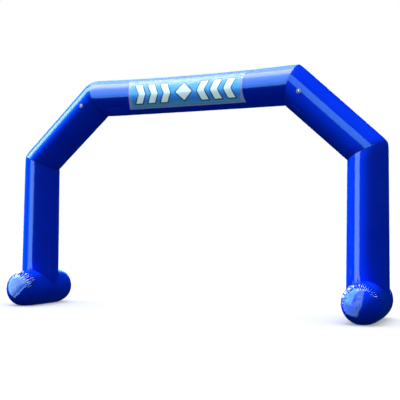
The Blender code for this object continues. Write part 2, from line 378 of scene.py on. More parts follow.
def add_node(
    tree: Tree, kind: str, inputs: Inputs | None = None, out: str = "", stops: tuple = (), **settings
) -> Socket | None:
    """Adds a node to a tree.

    Args:
        tree: The tree that gets the node.
        kind: Its type without the leading "ShaderNode".
        inputs: What each input gets.
        out: Name of the output that is wanted, where it isn't the first.
        stops: Places and hex colours of a colour ramp, in order.
        settings: The node's own properties.

    Returns:
        The output, or None where the node has none.
    """
    node = tree.nodes.new("ShaderNode" + kind)
    for name, value in settings.items():
        setattr(node, name, value)
    set_inputs(node, inputs or {})
    for index, (place, code) in enumerate(stops):
        ramp = node.color_ramp.elements
        stop = ramp[index] if index < len(ramp) else ramp.new(place)
        stop.position = place
        stop.color = linear(code)
    return node.outputs[out] if out else next((each for each in node.outputs if each.enabled), None)


@dataclass(frozen=True)
class Finish:
    """What all finishes share: a name, and one Principled shader."""

    name: str

    def inputs(self, tree: Tree) -> Inputs:
        """What the shader's inputs get; each finish has its own."""
        raise NotImplementedError

    def make(self) -> bpy.types.Material:
        """Builds the material.

        Returns:
            The material.
        """
        material = bpy.data.materials.new(self.name)
        material.use_nodes = True
        tree = material.node_tree
        set_inputs(tree.nodes["Principled BSDF"], self.inputs(tree))
        return material


@dataclass(frozen=True)
class CoatedCloth(Finish):
    """Woven polyester under a smooth coat of soft PVC, calendered and then welded.

    The coat is a deep blue and gives crisp reflections; the weave under it shows as a faint grain, and
    welded seams are a little duller and darker.
    """

    name: str = "pvc_coated_polyester_welded"
    colour: str = "#0232F4"
    faded: str = "#0239FA"
    # on the cloth the welds' own colour; on the tie patch a painted highlight round its rim
    seam_colour: str = "#022AD4"
    roughness: float = 0.10
    seam_dulling: float = 0.15  # what a weld adds to the roughness
    thread: float = 0.006  # real threads lie 1.3 mm apart, drawn coarser so that the grain shows
    grain: float = 0.00002  # height of the weave under the coat
    fade_length: float = 0.55

    def inputs(self, tree: Tree) -> Inputs:
        """Colour, gloss and grain of the cloth, from its weave and its seams.

        Args:
            tree: The material's nodes.

        Returns:
            What the shader's inputs get.
        """
        place = add_node(tree, "TexCoord", out="Object")
        metres = add_node(tree, "UVMap", uv_map="metres")
        seam = add_node(tree, "Attribute", out="Fac", attribute_name="seam")
        clouds = {"Vector": place, "Scale": 1 / self.fade_length, "Detail": 3.0}
        fade = add_node(tree, "TexNoise", clouds, "Fac")
        cloth = add_node(tree, "ValToRGB", {"Fac": fade}, stops=((0.35, self.colour), (0.70, self.faded)))
        # seam marks: the welds' colour on the cloth, and on the tie patch a painted highlight round its rim
        weld_and_highlight = {"Factor": seam, "A": cloth, "B": linear(self.seam_colour)}
        dull = {"Value": seam, "To Min": self.roughness, "To Max": self.roughness + self.seam_dulling}
        threads = {"Vector": metres, "Scale": pi / 10 / self.thread}
        warp, weft = (add_node(tree, "TexWave", threads, "Fac", bands_direction=way) for way in "XY")
        weave = add_node(tree, "Math", {0: warp, 1: weft}, operation="MULTIPLY")
        return {
            "Base Color": add_node(tree, "Mix", weld_and_highlight, data_type="RGBA"),
            "Roughness": add_node(tree, "MapRange", dull),
            "Normal": add_node(tree, "Bump", {"Height": weave, "Distance": self.grain, "Strength": 1.0}),
            "IOR": 1.5,
        }


# the same cloth, painted dark navy as painted shade inside the rim, with a painted highlight round the rim
PATCH_CLOTH = CoatedCloth(name="pvc_patch_pressed", colour="#040E5A", faded="#06126A", seam_colour="#8498E4")


@dataclass(frozen=True)
class BannerPrint(Finish):
    """Banner cloth, woven polyester, printed with solvent inks: a satin sheet under the clear window.

    The design is plain race-course ornament: bars bent to arrows that lead in from both ends to a lozenge.
    """

    name: str = "banner_cloth_printed"
    ground: tuple = ((0.08, "#3488B0"), (0.26, "#0A6CC8"), (0.50, "#0692FF"), (0.92, "#406494"))  # upwards
    silvered: tuple = ((0.15, "#D2F0F0"), (0.60, "#D8F0F6"))  # the bars, upwards
    ink_line: str = "#0A2440"
    half_height: float = 0.158  # of a bar
    pitch: float = 0.232  # from bar to bar
    share: float = 0.52  # of the pitch that a bar takes
    lean: float = 0.45
    first: float = 0.185  # from the middle to the first bar's cell
    bars: int = 3
    line: float = 0.019
    lozenge: float = 0.145
    sheet_half: float = 0.235  # half the height of the print
    ink_edge: float = 0.001  # over which one ink gives way to the next

    def shape(self, tree: Tree, u: Socket, v: Socket) -> Socket:
        """Works out how far a point lies inside the nearest bar or the lozenge.

        Args:
            tree: The material's nodes.
            u: Metres across the print from its middle.
            v: Metres up it.

        Returns:
            The distance in metres, less than 0 outside.
        """
        square = self.pitch / sqrt(1 + self.lean**2)
        found = {"u": u, "v": v}
        for name, operation, *terms in (
            ("across", "ABSOLUTE", "u"),
            ("rise", "ABSOLUTE", "v"),
            ("bent", "MULTIPLY_ADD", "rise", -self.lean, "across"),
            ("cell", "MULTIPLY_ADD", "bent", 1 / self.pitch, -self.first / self.pitch),
            ("part", "FRACT", "cell"),
            ("off", "SUBTRACT", "part", 0.5),
            ("off", "ABSOLUTE", "off"),
            ("inside", "MULTIPLY_ADD", "off", -square, self.share / 2 * square),
            ("below", "SUBTRACT", self.half_height, "rise"),
            ("before", "MULTIPLY", "cell", self.pitch),
            ("after", "SUBTRACT", self.bars * self.pitch, "before"),
            ("inside", "MINIMUM", "inside", "below"),
            ("inside", "MINIMUM", "inside", "before"),
            ("inside", "MINIMUM", "inside", "after"),
            ("reach", "ADD", "across", "rise"),
            ("lozenge", "SUBTRACT", self.lozenge, "reach"),
            ("lozenge", "MULTIPLY", "lozenge", sqrt(0.5)),
            ("inside", "MAXIMUM", "inside", "lozenge"),
        ):
            inputs = {index: found.get(term, term) for index, term in enumerate(terms)}
            found[name] = add_node(tree, "Math", inputs, operation=operation)
        return found["inside"]

    def inputs(self, tree: Tree) -> Inputs:
        """The ground, the dark line round the bars and the bars, all under a thin gloss.

        Args:
            tree: The material's nodes.

        Returns:
            What the shader's inputs get.
        """
        metres = add_node(tree, "UVMap", uv_map="metres")
        parts = add_node(tree, "SeparateXYZ", {"Vector": metres}).node.outputs
        inside = self.shape(tree, parts["X"], parts["Y"])
        span = {"Value": parts["Y"], "From Min": -self.sheet_half, "From Max": self.sheet_half}
        height = add_node(tree, "MapRange", span)
        colour = add_node(tree, "ValToRGB", {"Fac": height}, stops=self.ground)
        bar = add_node(tree, "ValToRGB", {"Fac": height}, stops=self.silvered)
        for start, end, over in (
            (-self.line - self.ink_edge, -self.line, linear(self.ink_line)),
            (0.0, self.ink_edge, bar),
        ):
            mask = add_node(tree, "MapRange", {"Value": inside, "From Min": start, "From Max": end})
            colour = add_node(tree, "Mix", {"Factor": mask, "A": colour, "B": over}, data_type="RGBA")
        crinkle = add_node(tree, "TexNoise", {"Vector": metres, "Scale": 22.0, "Detail": 2.0}, "Fac")
        return {
            "Base Color": colour,
            "Roughness": 0.45,
            "Specular IOR Level": 0.2,
            "Coat Weight": 0.62,
            "Coat Roughness": 0.14,
            "Normal": add_node(tree, "Bump", {"Height": crinkle, "Distance": 0.0012, "Strength": 0.6}),
        }


@dataclass(frozen=True)
class ClearFilm(Finish):
    """Clear soft PVC sheet, calendered: glossy, slightly milky, frosted where its margin is welded down."""

    name: str = "clear_pvc_film"
    tint: str = "#D6ECF4"
    print_half: tuple = (("X", 0.98), ("Y", 0.238))  # how far the print reaches along each axis
    margin_edge: float = 0.004
    milky: float = 0.012
    frosted: float = 0.16
    unevenness: float = 0.4  # of the frosting

    def inputs(self, tree: Tree) -> Inputs:
        """The film's clearness, and its slight waviness.

        Args:
            tree: The material's nodes.

        Returns:
            What the shader's inputs get.
        """
        metres = add_node(tree, "UVMap", uv_map="metres")
        parts = add_node(tree, "SeparateXYZ", {"Vector": metres}).node.outputs
        over = {}
        for index, (axis, half) in enumerate(self.print_half):
            size = add_node(tree, "Math", {0: parts[axis]}, operation="ABSOLUTE")
            edge = {"Value": size, "From Min": half - self.margin_edge, "From Max": half}
            over[index] = add_node(tree, "MapRange", edge)
        margin = add_node(tree, "Math", over, operation="MAXIMUM")
        cloud = add_node(tree, "TexNoise", {"Vector": metres, "Scale": 45.0, "Detail": 3.0}, "Fac")
        low, high = (self.frosted * (1 + way * self.unevenness) for way in (-1, 1))
        uneven = add_node(tree, "MapRange", {"Value": cloud, "To Min": low, "To Max": high})
        clearness = {"Factor": margin, "A": self.milky, "B": uneven}
        return {
            "Base Color": linear(self.tint),
            "Alpha": add_node(tree, "Mix", clearness, data_type="FLOAT"),
            "Roughness": 0.14,
            "IOR": 1.53,
            "Normal": add_node(tree, "Bump", {"Height": cloud, "Distance": 0.0008, "Strength": 0.5}),
        }


@dataclass(frozen=True)
class Webbing(Finish):
    """Polyester webbing, woven flat: matt, with a fine rib across; its pale blue-white is a painted
    highlight, for the glint at the middle of the ring.
    """

    name: str = "polyester_webbing_woven"
    colours: tuple = ((0.2, "#B4BCDC"), (0.9, "#F0F4FF"))  # painted highlight, pale: between the ribs, and on them
    rib: float = 0.0016  # distance from rib to rib

    def inputs(self, tree: Tree) -> Inputs:
        """The ribs, and the matt look of the yarn.

        Args:
            tree: The material's nodes.

        Returns:
            What the shader's inputs get.
        """
        ribs = {"Vector": add_node(tree, "UVMap", uv_map="metres"), "Scale": pi / 10 / self.rib}
        rib = add_node(tree, "TexWave", ribs, "Fac", bands_direction="Y")
        return {
            "Base Color": add_node(tree, "ValToRGB", {"Fac": rib}, stops=self.colours),
            "Normal": add_node(tree, "Bump", {"Height": rib, "Distance": 0.0003, "Strength": 0.8}),
            "Roughness": 0.7,
            "Sheen Weight": 0.3,
        }


@dataclass(frozen=True)
class PlatedSteel(Finish):
    """Steel wire, bent and zinc plated: bright, with the faint mottling of the bath."""

    name: str = "steel_wire_zinc_plated"
    colours: tuple = ((0.4, "#D4D6D8"), (0.8, "#AEB2B6"))
    mottle_size: float = 0.004

    def inputs(self, tree: Tree) -> Inputs:
        """The mottled, bright metal.

        Args:
            tree: The material's nodes.

        Returns:
            What the shader's inputs get.
        """
        place = add_node(tree, "TexCoord", out="Object")
        spots = add_node(tree, "TexNoise", {"Vector": place, "Scale": 1 / self.mottle_size}, "Fac")
        bath = add_node(tree, "ValToRGB", {"Fac": spots}, stops=self.colours)
        return {"Base Color": bath, "Metallic": 1.0, "Roughness": 0.24}


@dataclass(frozen=True)
class FloorPaint(Finish):
    """Matt white studio floor paint, rolled, with a trace of the roller's texture."""

    name: str = "floor_paint_rolled"
    colour: str = "#F4F4F4"

    def inputs(self, tree: Tree) -> Inputs:
        """The matt white, and the roller's texture.

        Args:
            tree: The material's nodes.

        Returns:
            What the shader's inputs get.
        """
        place = add_node(tree, "TexCoord", out="Object")
        roller = add_node(tree, "TexNoise", {"Vector": place, "Scale": 300.0}, "Fac")
        bump = add_node(tree, "Bump", {"Height": roller, "Distance": 0.0002, "Strength": 0.2})
        return {"Base Color": linear(self.colour), "Roughness": 0.9, "Normal": bump}


@dataclass
class Finishes:
    """One material of each kind, shared by the pieces that are made of it."""

    cloth: bpy.types.Material = field(default_factory=CoatedCloth().make)
    print: bpy.types.Material = field(default_factory=BannerPrint().make)
    film: bpy.types.Material = field(default_factory=ClearFilm().make)
    # the tie patch: dark for painted shade, with a painted highlight round its rim
    patch: bpy.types.Material = field(default_factory=PATCH_CLOTH.make)
    # the keeper's strap, painted pale as a highlight
    webbing: bpy.types.Material = field(default_factory=Webbing().make)
    steel: bpy.types.Material = field(default_factory=PlatedSteel().make)
    floor: bpy.types.Material = field(default_factory=FloorPaint().make)


def dress(obj: Obj, material: bpy.types.Material, node: str) -> None:
    """Gives a finished piece its material, its body and the node that it stands for.

    Args:
        obj: The piece.
        material: What it is made of.
        node: The node.
    """
    obj.data.materials.clear()
    obj.data.materials.append(material)
    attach(obj, "root")
    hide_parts(node)
    LOG.info("%s: %d faces", obj.name, len(obj.data.polygons))


# ---------------------------------------------------------------- tubes


@dataclass
class SeamRelief:
    """What a welded seam does to the cloth beside it."""

    dip: float = 0.0011  # how deep the seam pulls the cloth in
    dip_reach: float = 0.012
    hollow: float = 0.003  # the wider, softer part of the pull
    hollow_reach: float = 0.080
    tip: float = 0.012  # rounding of the mitre's outer tip
    tip_reach: float = 0.085
    tip_narrowing: float = 1.5
    pucker: float = 0.0022  # height of the puckers at the mitre's inner corner
    pucker_reach: float = 0.110
    pucker_length: float = 0.052  # from crest to crest
    all_round: float = 0.25  # the puckers' share that runs on round the whole seam, half as far from it
    strays: tuple = ((0.012, 9, 1.7), (0.007, 23, 4.1))  # each: metres off, radians a metre, radians a seed

    def depth(self, distance: Points, outward: Points, arc: Points, seed: int) -> Points:
        """Height over the plain tube beside one seam, below 0 where the cloth is pulled in.

        Args:
            distance: From the seam, along the tube.
            outward: Sine of the angle from the front to the outside of the arch.
            arc: Metres round the tube.
            seed: Sets one seam's puckers apart from another's.

        Returns:
            The height, in metres.
        """
        pull = self.dip * np.exp(-distance / self.dip_reach)
        pull += self.hollow * bell(distance, self.hollow_reach)
        near = np.clip(1 - distance / self.tip_reach, 0, 1) ** 2
        pull += self.tip * near * np.clip(outward, 0, 1) ** self.tip_narrowing
        stray = sum(off * np.sin(arc * rate + seed * turn) for off, rate, turn in self.strays)
        crest = np.cos(2 * pi * (arc + stray) / self.pucker_length)
        inner = np.clip(-outward, 0, 1) ** 2 * bell(distance, self.pucker_reach)
        small = self.all_round * bell(distance, self.pucker_reach / 2)
        return self.pucker * crest * (inner + small) - pull


@dataclass
class Tube:
    """One straight tube of cloth between two end cuts, as the part has it.

    Rings run from end to end, evenly along each lengthwise line of the skin.
    """

    name: str
    node: str
    start: Vector
    end: Vector
    outward: Vector
    start_radius: float
    end_radius: float
    start_normal: Vector | None
    end_normal: Vector | None
    seed: int
    start_relief: SeamRelief = field(default_factory=SeamRelief)
    end_relief: SeamRelief = field(default_factory=SeamRelief)
    sides: int = 144
    spans: int = 96
    crowding: float = 0.72  # how much closer the rings lie at the ends
    unevenness: float = 0.00045
    uneven_length: float = 0.16
    weld: float = 0.012  # how far from a seam the coat is dulled

    @property
    def axis(self) -> Vector:
        """Unit direction of the tube."""
        return (self.end - self.start).normalized()

    @property
    def middle_radius(self) -> float:
        """Mean radius, which the cloth's layout uses."""
        return (self.start_radius + self.end_radius) / 2

    @property
    def cuts(self) -> tuple[tuple[Vector, Vector, int], ...]:
        """Each end's place and its normal along the tube, and which way the end faces."""
        ends = (self.start, self.start_normal, -1), (self.end, self.end_normal, 1)
        return tuple((place, normal or self.axis, way) for place, normal, way in ends)

    def spokes(self, angles: Points) -> Points:
        """Unit directions from the axis, one row for each angle from the front towards the outside."""
        return np.outer(np.cos(angles), FRONT) + np.outer(np.sin(angles), self.outward)

    def ring(self, angles: Points, centre: Vector, radius: float, normal: Vector) -> Points:
        """Finds where lengthwise lines of the skin meet a plane.

        Args:
            angles: The lines' angles.
            centre: The plane's place on the axis.
            radius: Of the tube there.
            normal: Of the plane.

        Returns:
            The places, one row each.
        """
        spokes = radius * self.spokes(angles)
        along = -(spokes @ np.array(normal)) / self.axis.dot(normal)
        return np.array(centre) + spokes + np.outer(along, self.axis)

    def first_ring(self, angles: Points) -> Points:
        """The tube's lower or left end."""
        return self.ring(angles, self.start, self.start_radius, self.start_normal)

    def last_ring(self, angles: Points) -> Points:
        """The tube's other end."""
        return self.ring(angles, self.end, self.end_radius, self.end_normal)

    def skin(self, angles: Points, shares: Points) -> Points:
        """Points of the plain skin at these angles and shares of the way along."""
        first, last = self.first_ring(angles), self.last_ring(angles)
        return first + (last - first) * shares[:, None]

    def relief(self, angles: Points, shares: Points) -> Points:
        """Height of the real cloth over the plain skin.

        Args:
            angles: Round the tube.
            shares: Of the way along it.

        Returns:
            One height for each pair.
        """
        lengths = np.linalg.norm(self.last_ring(angles) - self.first_ring(angles), axis=1)
        arc, outward = angles * self.middle_radius, np.sin(angles)
        height = self.start_relief.depth(shares * lengths, outward, arc, self.seed)
        height += self.end_relief.depth((1 - shares) * lengths, outward, arc, self.seed + 1)
        return height + self.unevenness * ripple(self.skin(angles, shares), self.uneven_length, self.seed)

    def cloth_points(self, angles: Points, shares: Points) -> Points:
        """Points of the cloth's outside at these angles and shares of the way along."""
        return self.skin(angles, shares) + self.spokes(angles) * self.relief(angles, shares)[:, None]

    def cut_cylinder(self) -> Obj:
        """Makes an open cylinder along the tube, longer than it, cut at its mitres and divided into rings.

        Returns:
            The cylinder.
        """
        run = self.end - self.start
        spare = 2 * self.middle_radius
        bpy.ops.mesh.primitive_cylinder_add(
            vertices=self.sides,
            radius=self.middle_radius,
            depth=run.length + 2 * spare,
            end_fill_type="NOTHING",
            location=(self.start + self.end) / 2,
            rotation=run.to_track_quat("Z", "Y").to_euler(),
        )
        obj = newest(self.name)
        for place, normal, way in self.cuts:
            with editing(obj):
                bpy.ops.mesh.bisect(plane_co=place, plane_no=way * normal, clear_outer=True)
        nearly_along = 0.99
        lengthwise = np.abs(edge_runs(obj) @ np.array(self.axis)) > nearly_along
        with editing(obj, "EDGE", lengthwise):
            bpy.ops.mesh.subdivide(number_cuts=self.spans - 1)
        return obj

    def places(self, obj: Obj) -> tuple[Points, Points]:
        """Reads where each vertex of the cut cylinder lies on the tube.

        Args:
            obj: The cylinder.

        Returns:
            Their angles, and their shares of the way along.
        """
        from_start = read_points(obj) - np.array(self.start)
        angles = np.arctan2(from_start @ np.array(self.outward), from_start @ np.array(FRONT))
        spokes = self.middle_radius * self.spokes(angles)
        axis = np.array(self.axis)
        ends = [
            (np.array(place - self.start) @ cut - spokes @ cut) / (axis @ cut)
            for place, cut in ((place, np.array(normal)) for place, normal, _ in self.cuts)
        ]
        shares = (from_start @ axis - ends[0]) / (ends[1] - ends[0])
        shares = np.round(shares * self.spans) / self.spans
        return angles, shares - self.crowding * np.sin(2 * pi * shares) / (2 * pi)

    def build(self) -> Obj:
        """Makes the tube and its wall.

        Returns:
            The tube.
        """
        obj = self.cut_cylinder()
        angles, shares = self.places(obj)
        write_points(obj, self.cloth_points(angles, shares))
        length = (self.end - self.start).length
        radius = self.middle_radius
        write_layout(obj, angles * radius, shares * length, period=2 * pi * radius)
        from_end = np.minimum(shares, 1 - shares) * length
        lap = bell((np.abs(angles) - pi) * radius, self.weld, power=4)
        write_wear(obj, np.maximum(bell(from_end, self.weld), lap))
        add_wall(obj, CLOTH, corner=40)
        return obj

    def dress(self, obj: Obj, finishes: Finishes) -> None:
        """Finishes the tube and says what it stands for."""
        dress(obj, finishes.cloth, self.node)


@dataclass
class LegTube(Tube):
    """Upright tube whose lower end is scribed to the top of its foot."""

    sizes: ArchSizes | None = None
    fullness: float = 4.0
    saddle_gap: float = 0.0006

    def first_ring(self, angles: Points) -> Points:
        """The saddle on the foot.

        Args:
            angles: Of the lengthwise lines that end on it.

        Returns:
            The places where they end.
        """
        sizes = self.sizes
        spokes = self.start_radius * self.spokes(angles)
        share = (1 - (np.abs(spokes[:, 1]) / sizes.foot_half_length) ** self.fullness) ** (1 / self.fullness)
        half = sizes.foot_half_width * share + self.saddle_gap
        height = sizes.foot_axis_z + np.sqrt(np.clip(half**2 - spokes[:, 0] ** 2, 0, None))
        return np.stack([self.start.x + spokes[:, 0], spokes[:, 1], height], 1)


@dataclass
class BeamTube(Tube):
    """Level tube with a waist, and a slight sag of its own weight."""

    waist: float = 0.017
    sag: float = 0.021
    streak: float = 0.00035  # height of the faint upright ripples along the front
    streak_length: float = 0.085
    streak_band: float = 0.7  # radians from the front over which they die away
    sway: Span = (1.3, 9.0)  # how far, in radians, and how fast the ripples' spacing varies along the beam
    bow: Span = (0.8, 3.0)  # and how far and how fast they bow round it
    swell: tuple = (0.6, 0.4, 4.7)  # their least strength, what it gains at most, and how fast it varies

    def skin(self, angles: Points, shares: Points) -> Points:
        """Points of the plain skin, narrower and lower towards the middle.

        Args:
            angles: Round the beam.
            shares: Of the way along it.

        Returns:
            The points, one row each.
        """
        points = super().skin(angles, shares)
        thin = 1 - (2 * shares - 1) ** 2
        points -= self.waist * thin[:, None] * self.spokes(angles)
        points[:, 2] -= self.sag * thin
        return points

    def relief(self, angles: Points, shares: Points) -> Points:
        """Adds the ripples that the air leaves between the banner and the shoulders.

        Args:
            angles: Round the beam.
            shares: Of the way along it.

        Returns:
            Height over the plain skin, for each pair.
        """
        along = (2 * shares - 1) * (self.end - self.start).length / 2
        sway = self.sway[0] * np.sin(self.sway[1] * along)
        bow = self.bow[0] * np.sin(self.bow[1] * angles)
        streaks = np.sin(2 * pi * along / self.streak_length + sway + bow)
        steady, gain, rate = self.swell
        strength = bell(angles, self.streak_band) * (steady + gain * np.sin(along * rate))
        return super().relief(angles, shares) + self.streak * streaks * strength

    def over(self, along: Points, angles: Points) -> Points:
        """Points over the cloth at these distances from the middle and these angles."""
        halves = np.abs(self.last_ring(angles)[:, 0])
        return self.cloth_points(angles, (along / halves + 1) / 2)


# ---------------------------------------------------------------- feet


@dataclass
class Foot:
    """Round bar of cloth along Y: a tube, and a cap gathered into each of its ends."""

    side: Side
    sizes: ArchSizes
    pleats: int
    seed: int
    segments: int = 448
    rings: int = 88
    fullness: float = 4.0
    curve_steps: int = 2000  # in which the skin is measured from its middle to a pole
    crowding: float = 3.0  # how much closer the rings lie at the gathered seams
    crowding_past: float = 0.020  # how far past the seam they lie closest
    crowding_reach: float = 0.065
    pleat_depth: float = 0.017
    depth_shares: Span = (0.55, 0.45)  # of that depth: what every pleat has, and what chance adds
    pleat_edge: float = 0.4  # from 0, a sharp fold, to 1, a round one
    pleat_level: float = 0.75  # share of its height that lies under the plain skin
    cap_reach: float = 0.150  # how far the pleats run in over the cap
    tube_reach: float = 0.110  # and out over the tube
    reach_shares: Span = (0.60, 0.40)  # of both: what every pleat has, and what chance adds
    cap_steepness: float = 2.2  # how much faster than evenly they come up on the cap
    low_share: float = 0.3  # of their depth that the pleats keep below
    upper_start: float = 0.25  # sine of the angle under the middle where they start to deepen
    wander: float = 0.30  # how unevenly they are spread, in pleats
    wander_rate: float = 2.1
    pleat_lean: float = 0.8  # spread of how far the pleats lean over their length, in pleats
    roundness: float = 0.55  # of the caps, from 0, flat at the pole, to 1, part of a ball
    seam_dip: float = 0.004
    seam_dip_reach: float = 0.010
    weld: float = 0.009
    unevenness: float = 0.0012
    uneven_length: float = 0.20
    uneven_seed: int = 31
    pole_calm: float = 2.5  # how soon the relief comes up from nothing at a pole

    @property
    def middle(self) -> Points:
        """Where the foot's axis crosses the leg's."""
        return np.array((self.side.value * self.sizes.leg_x, 0.0, self.sizes.foot_axis_z))

    def share(self, y: Points) -> Points:
        """Share of its full width that the foot keeps at this distance from its middle."""
        reach = np.clip(np.abs(y) / self.sizes.foot_half_length, 0, 1)
        return (1 - reach**self.fullness) ** (1 / self.fullness)

    def width(self, y: Points) -> Points:
        """Half the foot's width at these places along it."""
        return self.sizes.foot_half_width * self.share(y)

    def dome(self, y: Points) -> Points:
        """Makes the caps rounder at their poles.

        Args:
            y: Places along the foot.

        Returns:
            The places, those on the caps drawn back towards a ball.
        """
        sizes = self.sizes
        rim = self.width(sizes.foot_seam_y)
        rise = sizes.foot_half_length - sizes.foot_seam_y
        radius = (rim**2 + rise**2) / (2 * rise)
        ball = sizes.foot_half_length - radius + np.sqrt(radius**2 - np.minimum(self.width(y), rim) ** 2)
        blend = self.roundness * (np.abs(y) > sizes.foot_seam_y)
        return np.sign(y) * ((1 - blend) * np.abs(y) + blend * ball)

    def curve(self, turn: Points) -> tuple[Points, Points]:
        """Places along the foot from pole (-pi/2) to pole (pi/2), and the lengths of skin between them."""
        y = self.sizes.foot_half_length * np.sign(turn) * np.abs(np.sin(turn)) ** (2 / self.fullness)
        return y, np.hypot(np.diff(y), np.diff(self.width(y)))

    def stations(self) -> Points:
        """Spreads the rings from pole to pole, closest together at the gathered seams.

        Returns:
            Their places along Y.
        """
        seam = self.sizes.foot_seam_y
        y, steps = self.curve(np.linspace(-pi / 2, pi / 2, 2 * self.curve_steps + 1))
        middles = (y[1:] + y[:-1]) / 2
        crowded = 1 + self.crowding * bell(np.abs(middles) - seam - self.crowding_past, self.crowding_reach)
        travelled = np.concatenate([[0], np.cumsum(steps * crowded)])
        found = np.interp(np.linspace(0, travelled[-1], self.rings + 1), travelled, y)
        for place in (-seam, seam):
            found[np.argmin(np.abs(found - place))] = place
        return found

    def from_seam(self, y: Points) -> Points:
        """Measures how far places lie over the skin from the nearer seam.

        Args:
            y: The places along the foot.

        Returns:
            The distances, above 0 on the cap.
        """
        reach, steps = self.curve(np.linspace(0, pi / 2, self.curve_steps + 1))
        travelled = np.concatenate([[0], np.cumsum(steps)])
        return np.interp(np.abs(y), reach, travelled) - np.interp(self.sizes.foot_seam_y, reach, travelled)

    def faces(self, y: Points) -> tuple[Points, Points]:
        """Finds which way the plain skin faces.

        Args:
            y: Places along the foot.

        Returns:
            The share of each direction that is outwards, and the share that is along Y.
        """
        step, least, end = 0.0005, 1e-9, self.sizes.foot_half_length
        inner, outer = np.clip(y - step, -end, end), np.clip(y + step, -end, end)
        run = self.dome(outer) - self.dome(inner)
        drop = self.width(inner) - self.width(outer)
        length = np.maximum(np.hypot(run, drop), least)
        return run / length, drop / length

    def gathers(self, angles: Points, y: Points) -> Points:
        """Height of the pleats over the plain skin, and of the seam that holds them.

        Args:
            angles: Round the foot.
            y: Along it.

        Returns:
            The height, in metres.
        """
        depths = self.depth_shares[0] + self.depth_shares[1] * waves(self.seed, self.pleats)
        lengths = self.reach_shares[0] + self.reach_shares[1] * waves(self.seed + 1, self.pleats)
        leans = self.pleat_lean * (waves(self.seed + 2, self.pleats) - 0.5)
        away = self.from_seam(y)
        turns = (angles / (2 * pi)) % 1 * self.pleats
        wander = self.wander * np.sin(turns * self.wander_rate + self.seed)
        turns = turns + wander * np.sin(pi * (turns / self.pleats))
        slant = np.interp(turns, np.arange(self.pleats), leans, period=self.pleats)
        turns = turns + slant * np.clip(away / self.cap_reach, -1, 1)
        index = np.floor(turns).astype(int) % self.pleats
        reach = np.where(away > 0, self.cap_reach, self.tube_reach) * lengths[index]
        crest = 1 - np.abs(2 * (turns % 1) - 1)
        crest = (1 - self.pleat_edge) * crest + self.pleat_edge * np.sin(pi * crest / 2)
        fall = np.clip(1 - np.abs(away) / reach, 0, 1)
        fall = np.where(away > 0, np.clip(fall * self.cap_steepness, 0, 1), fall)
        upper = self.low_share + (1 - self.low_share) * np.clip(np.sin(angles) + self.upper_start, 0, 1)
        pleat = self.pleat_depth * depths[index] * upper * (crest - self.pleat_level) * fall
        return pleat - self.seam_dip * np.exp(-np.abs(away) / self.seam_dip_reach)

    def build_bar(self) -> Obj:
        """Makes the whole foot as one closed skin, its poles at the front and the back.

        Returns:
            The foot.
        """
        bpy.ops.mesh.primitive_uv_sphere_add(
            segments=self.segments, ring_count=self.rings, radius=1.0, rotation=(pi / 2, 0, 0)
        )
        obj = newest(f"{self.side.label}_foot_tube")
        ball = read_points(obj)
        angles = np.arctan2(ball[:, 2], ball[:, 0])
        order = np.round(np.arccos(np.clip(-ball[:, 1], -1, 1)) / pi * self.rings).astype(int)
        y = self.stations()[order]
        out = self.width(y)
        bar = np.stack([np.cos(angles) * out, y, np.sin(angles) * out], 1)
        write_points(obj, bar + self.middle)
        return obj

    def shape(self, obj: Obj, gap: float) -> None:
        """Rounds the caps, gathers the cloth into pleats and presses the sole flat.

        Args:
            obj: The tube or a cap, cut off the plain bar.
            gap: How far it is moved away from its seam with the tube.
        """
        half_width = self.sizes.foot_half_width
        points = read_points(obj)
        y = points[:, 1].copy()
        from_axis = points - self.middle
        angles = np.arctan2(from_axis[:, 2], from_axis[:, 0])
        outwards, along = self.faces(y)
        height = self.gathers(angles, y)
        height += self.unevenness * ripple(points, self.uneven_length, self.uneven_seed + self.side.value)
        height *= np.clip(self.share(y) * self.pole_calm, 0, 1) ** 2
        swollen = height * outwards
        points[:, 0] += np.cos(angles) * swollen
        points[:, 1] = self.dome(y) + height * along + np.sign(y) * gap
        points[:, 2] = np.maximum(points[:, 2] + np.sin(angles) * swollen, 0)
        write_points(obj, points)
        write_layout(obj, angles * half_width, y, period=2 * pi * half_width)
        write_wear(obj, bell(np.abs(y) - self.sizes.foot_seam_y, self.weld))

    def split_cap(self, bar: Obj, where: str, way: int) -> Obj:
        """Cuts one cap off the bar.

        Args:
            bar: The foot.
            where: The end's name.
            way: -1 at the front and 1 at the back.

        Returns:
            The cap.
        """
        chosen = np.array([way * face.center.y > self.sizes.foot_seam_y for face in bar.data.polygons])
        before = set(bpy.data.objects)
        with editing(bar, "FACE", chosen):
            bpy.ops.mesh.separate(type="SELECTED")
        (cap,) = set(bpy.data.objects) - before
        cap.name = cap.data.name = f"{self.side.label}_{where}_cap_dome"
        return cap

    def build(self) -> Pieces:
        """Makes the tube and both caps.

        Returns:
            The pieces, by the node that each stands for.
        """
        bar = self.build_bar()
        label = self.side.label
        ends = (("front", -1), ("back", 1))
        pieces = {f"{label}_{where}_cap": self.split_cap(bar, where, way) for where, way in ends}
        pieces[f"{label}_foot"] = bar
        for piece in pieces.values():
            self.shape(piece, gap=0.0 if piece is bar else SEAM_GAP)
            add_wall(piece, CLOTH)
        return pieces

    def dress(self, pieces: Pieces, finishes: Finishes) -> None:
        """Finishes the pieces and says what they stand for.

        Args:
            pieces: By the node that each stands for.
            finishes: The materials.
        """
        for node, piece in pieces.items():
            dress(piece, finishes.cloth, node)


# ---------------------------------------------------------------- tie rings


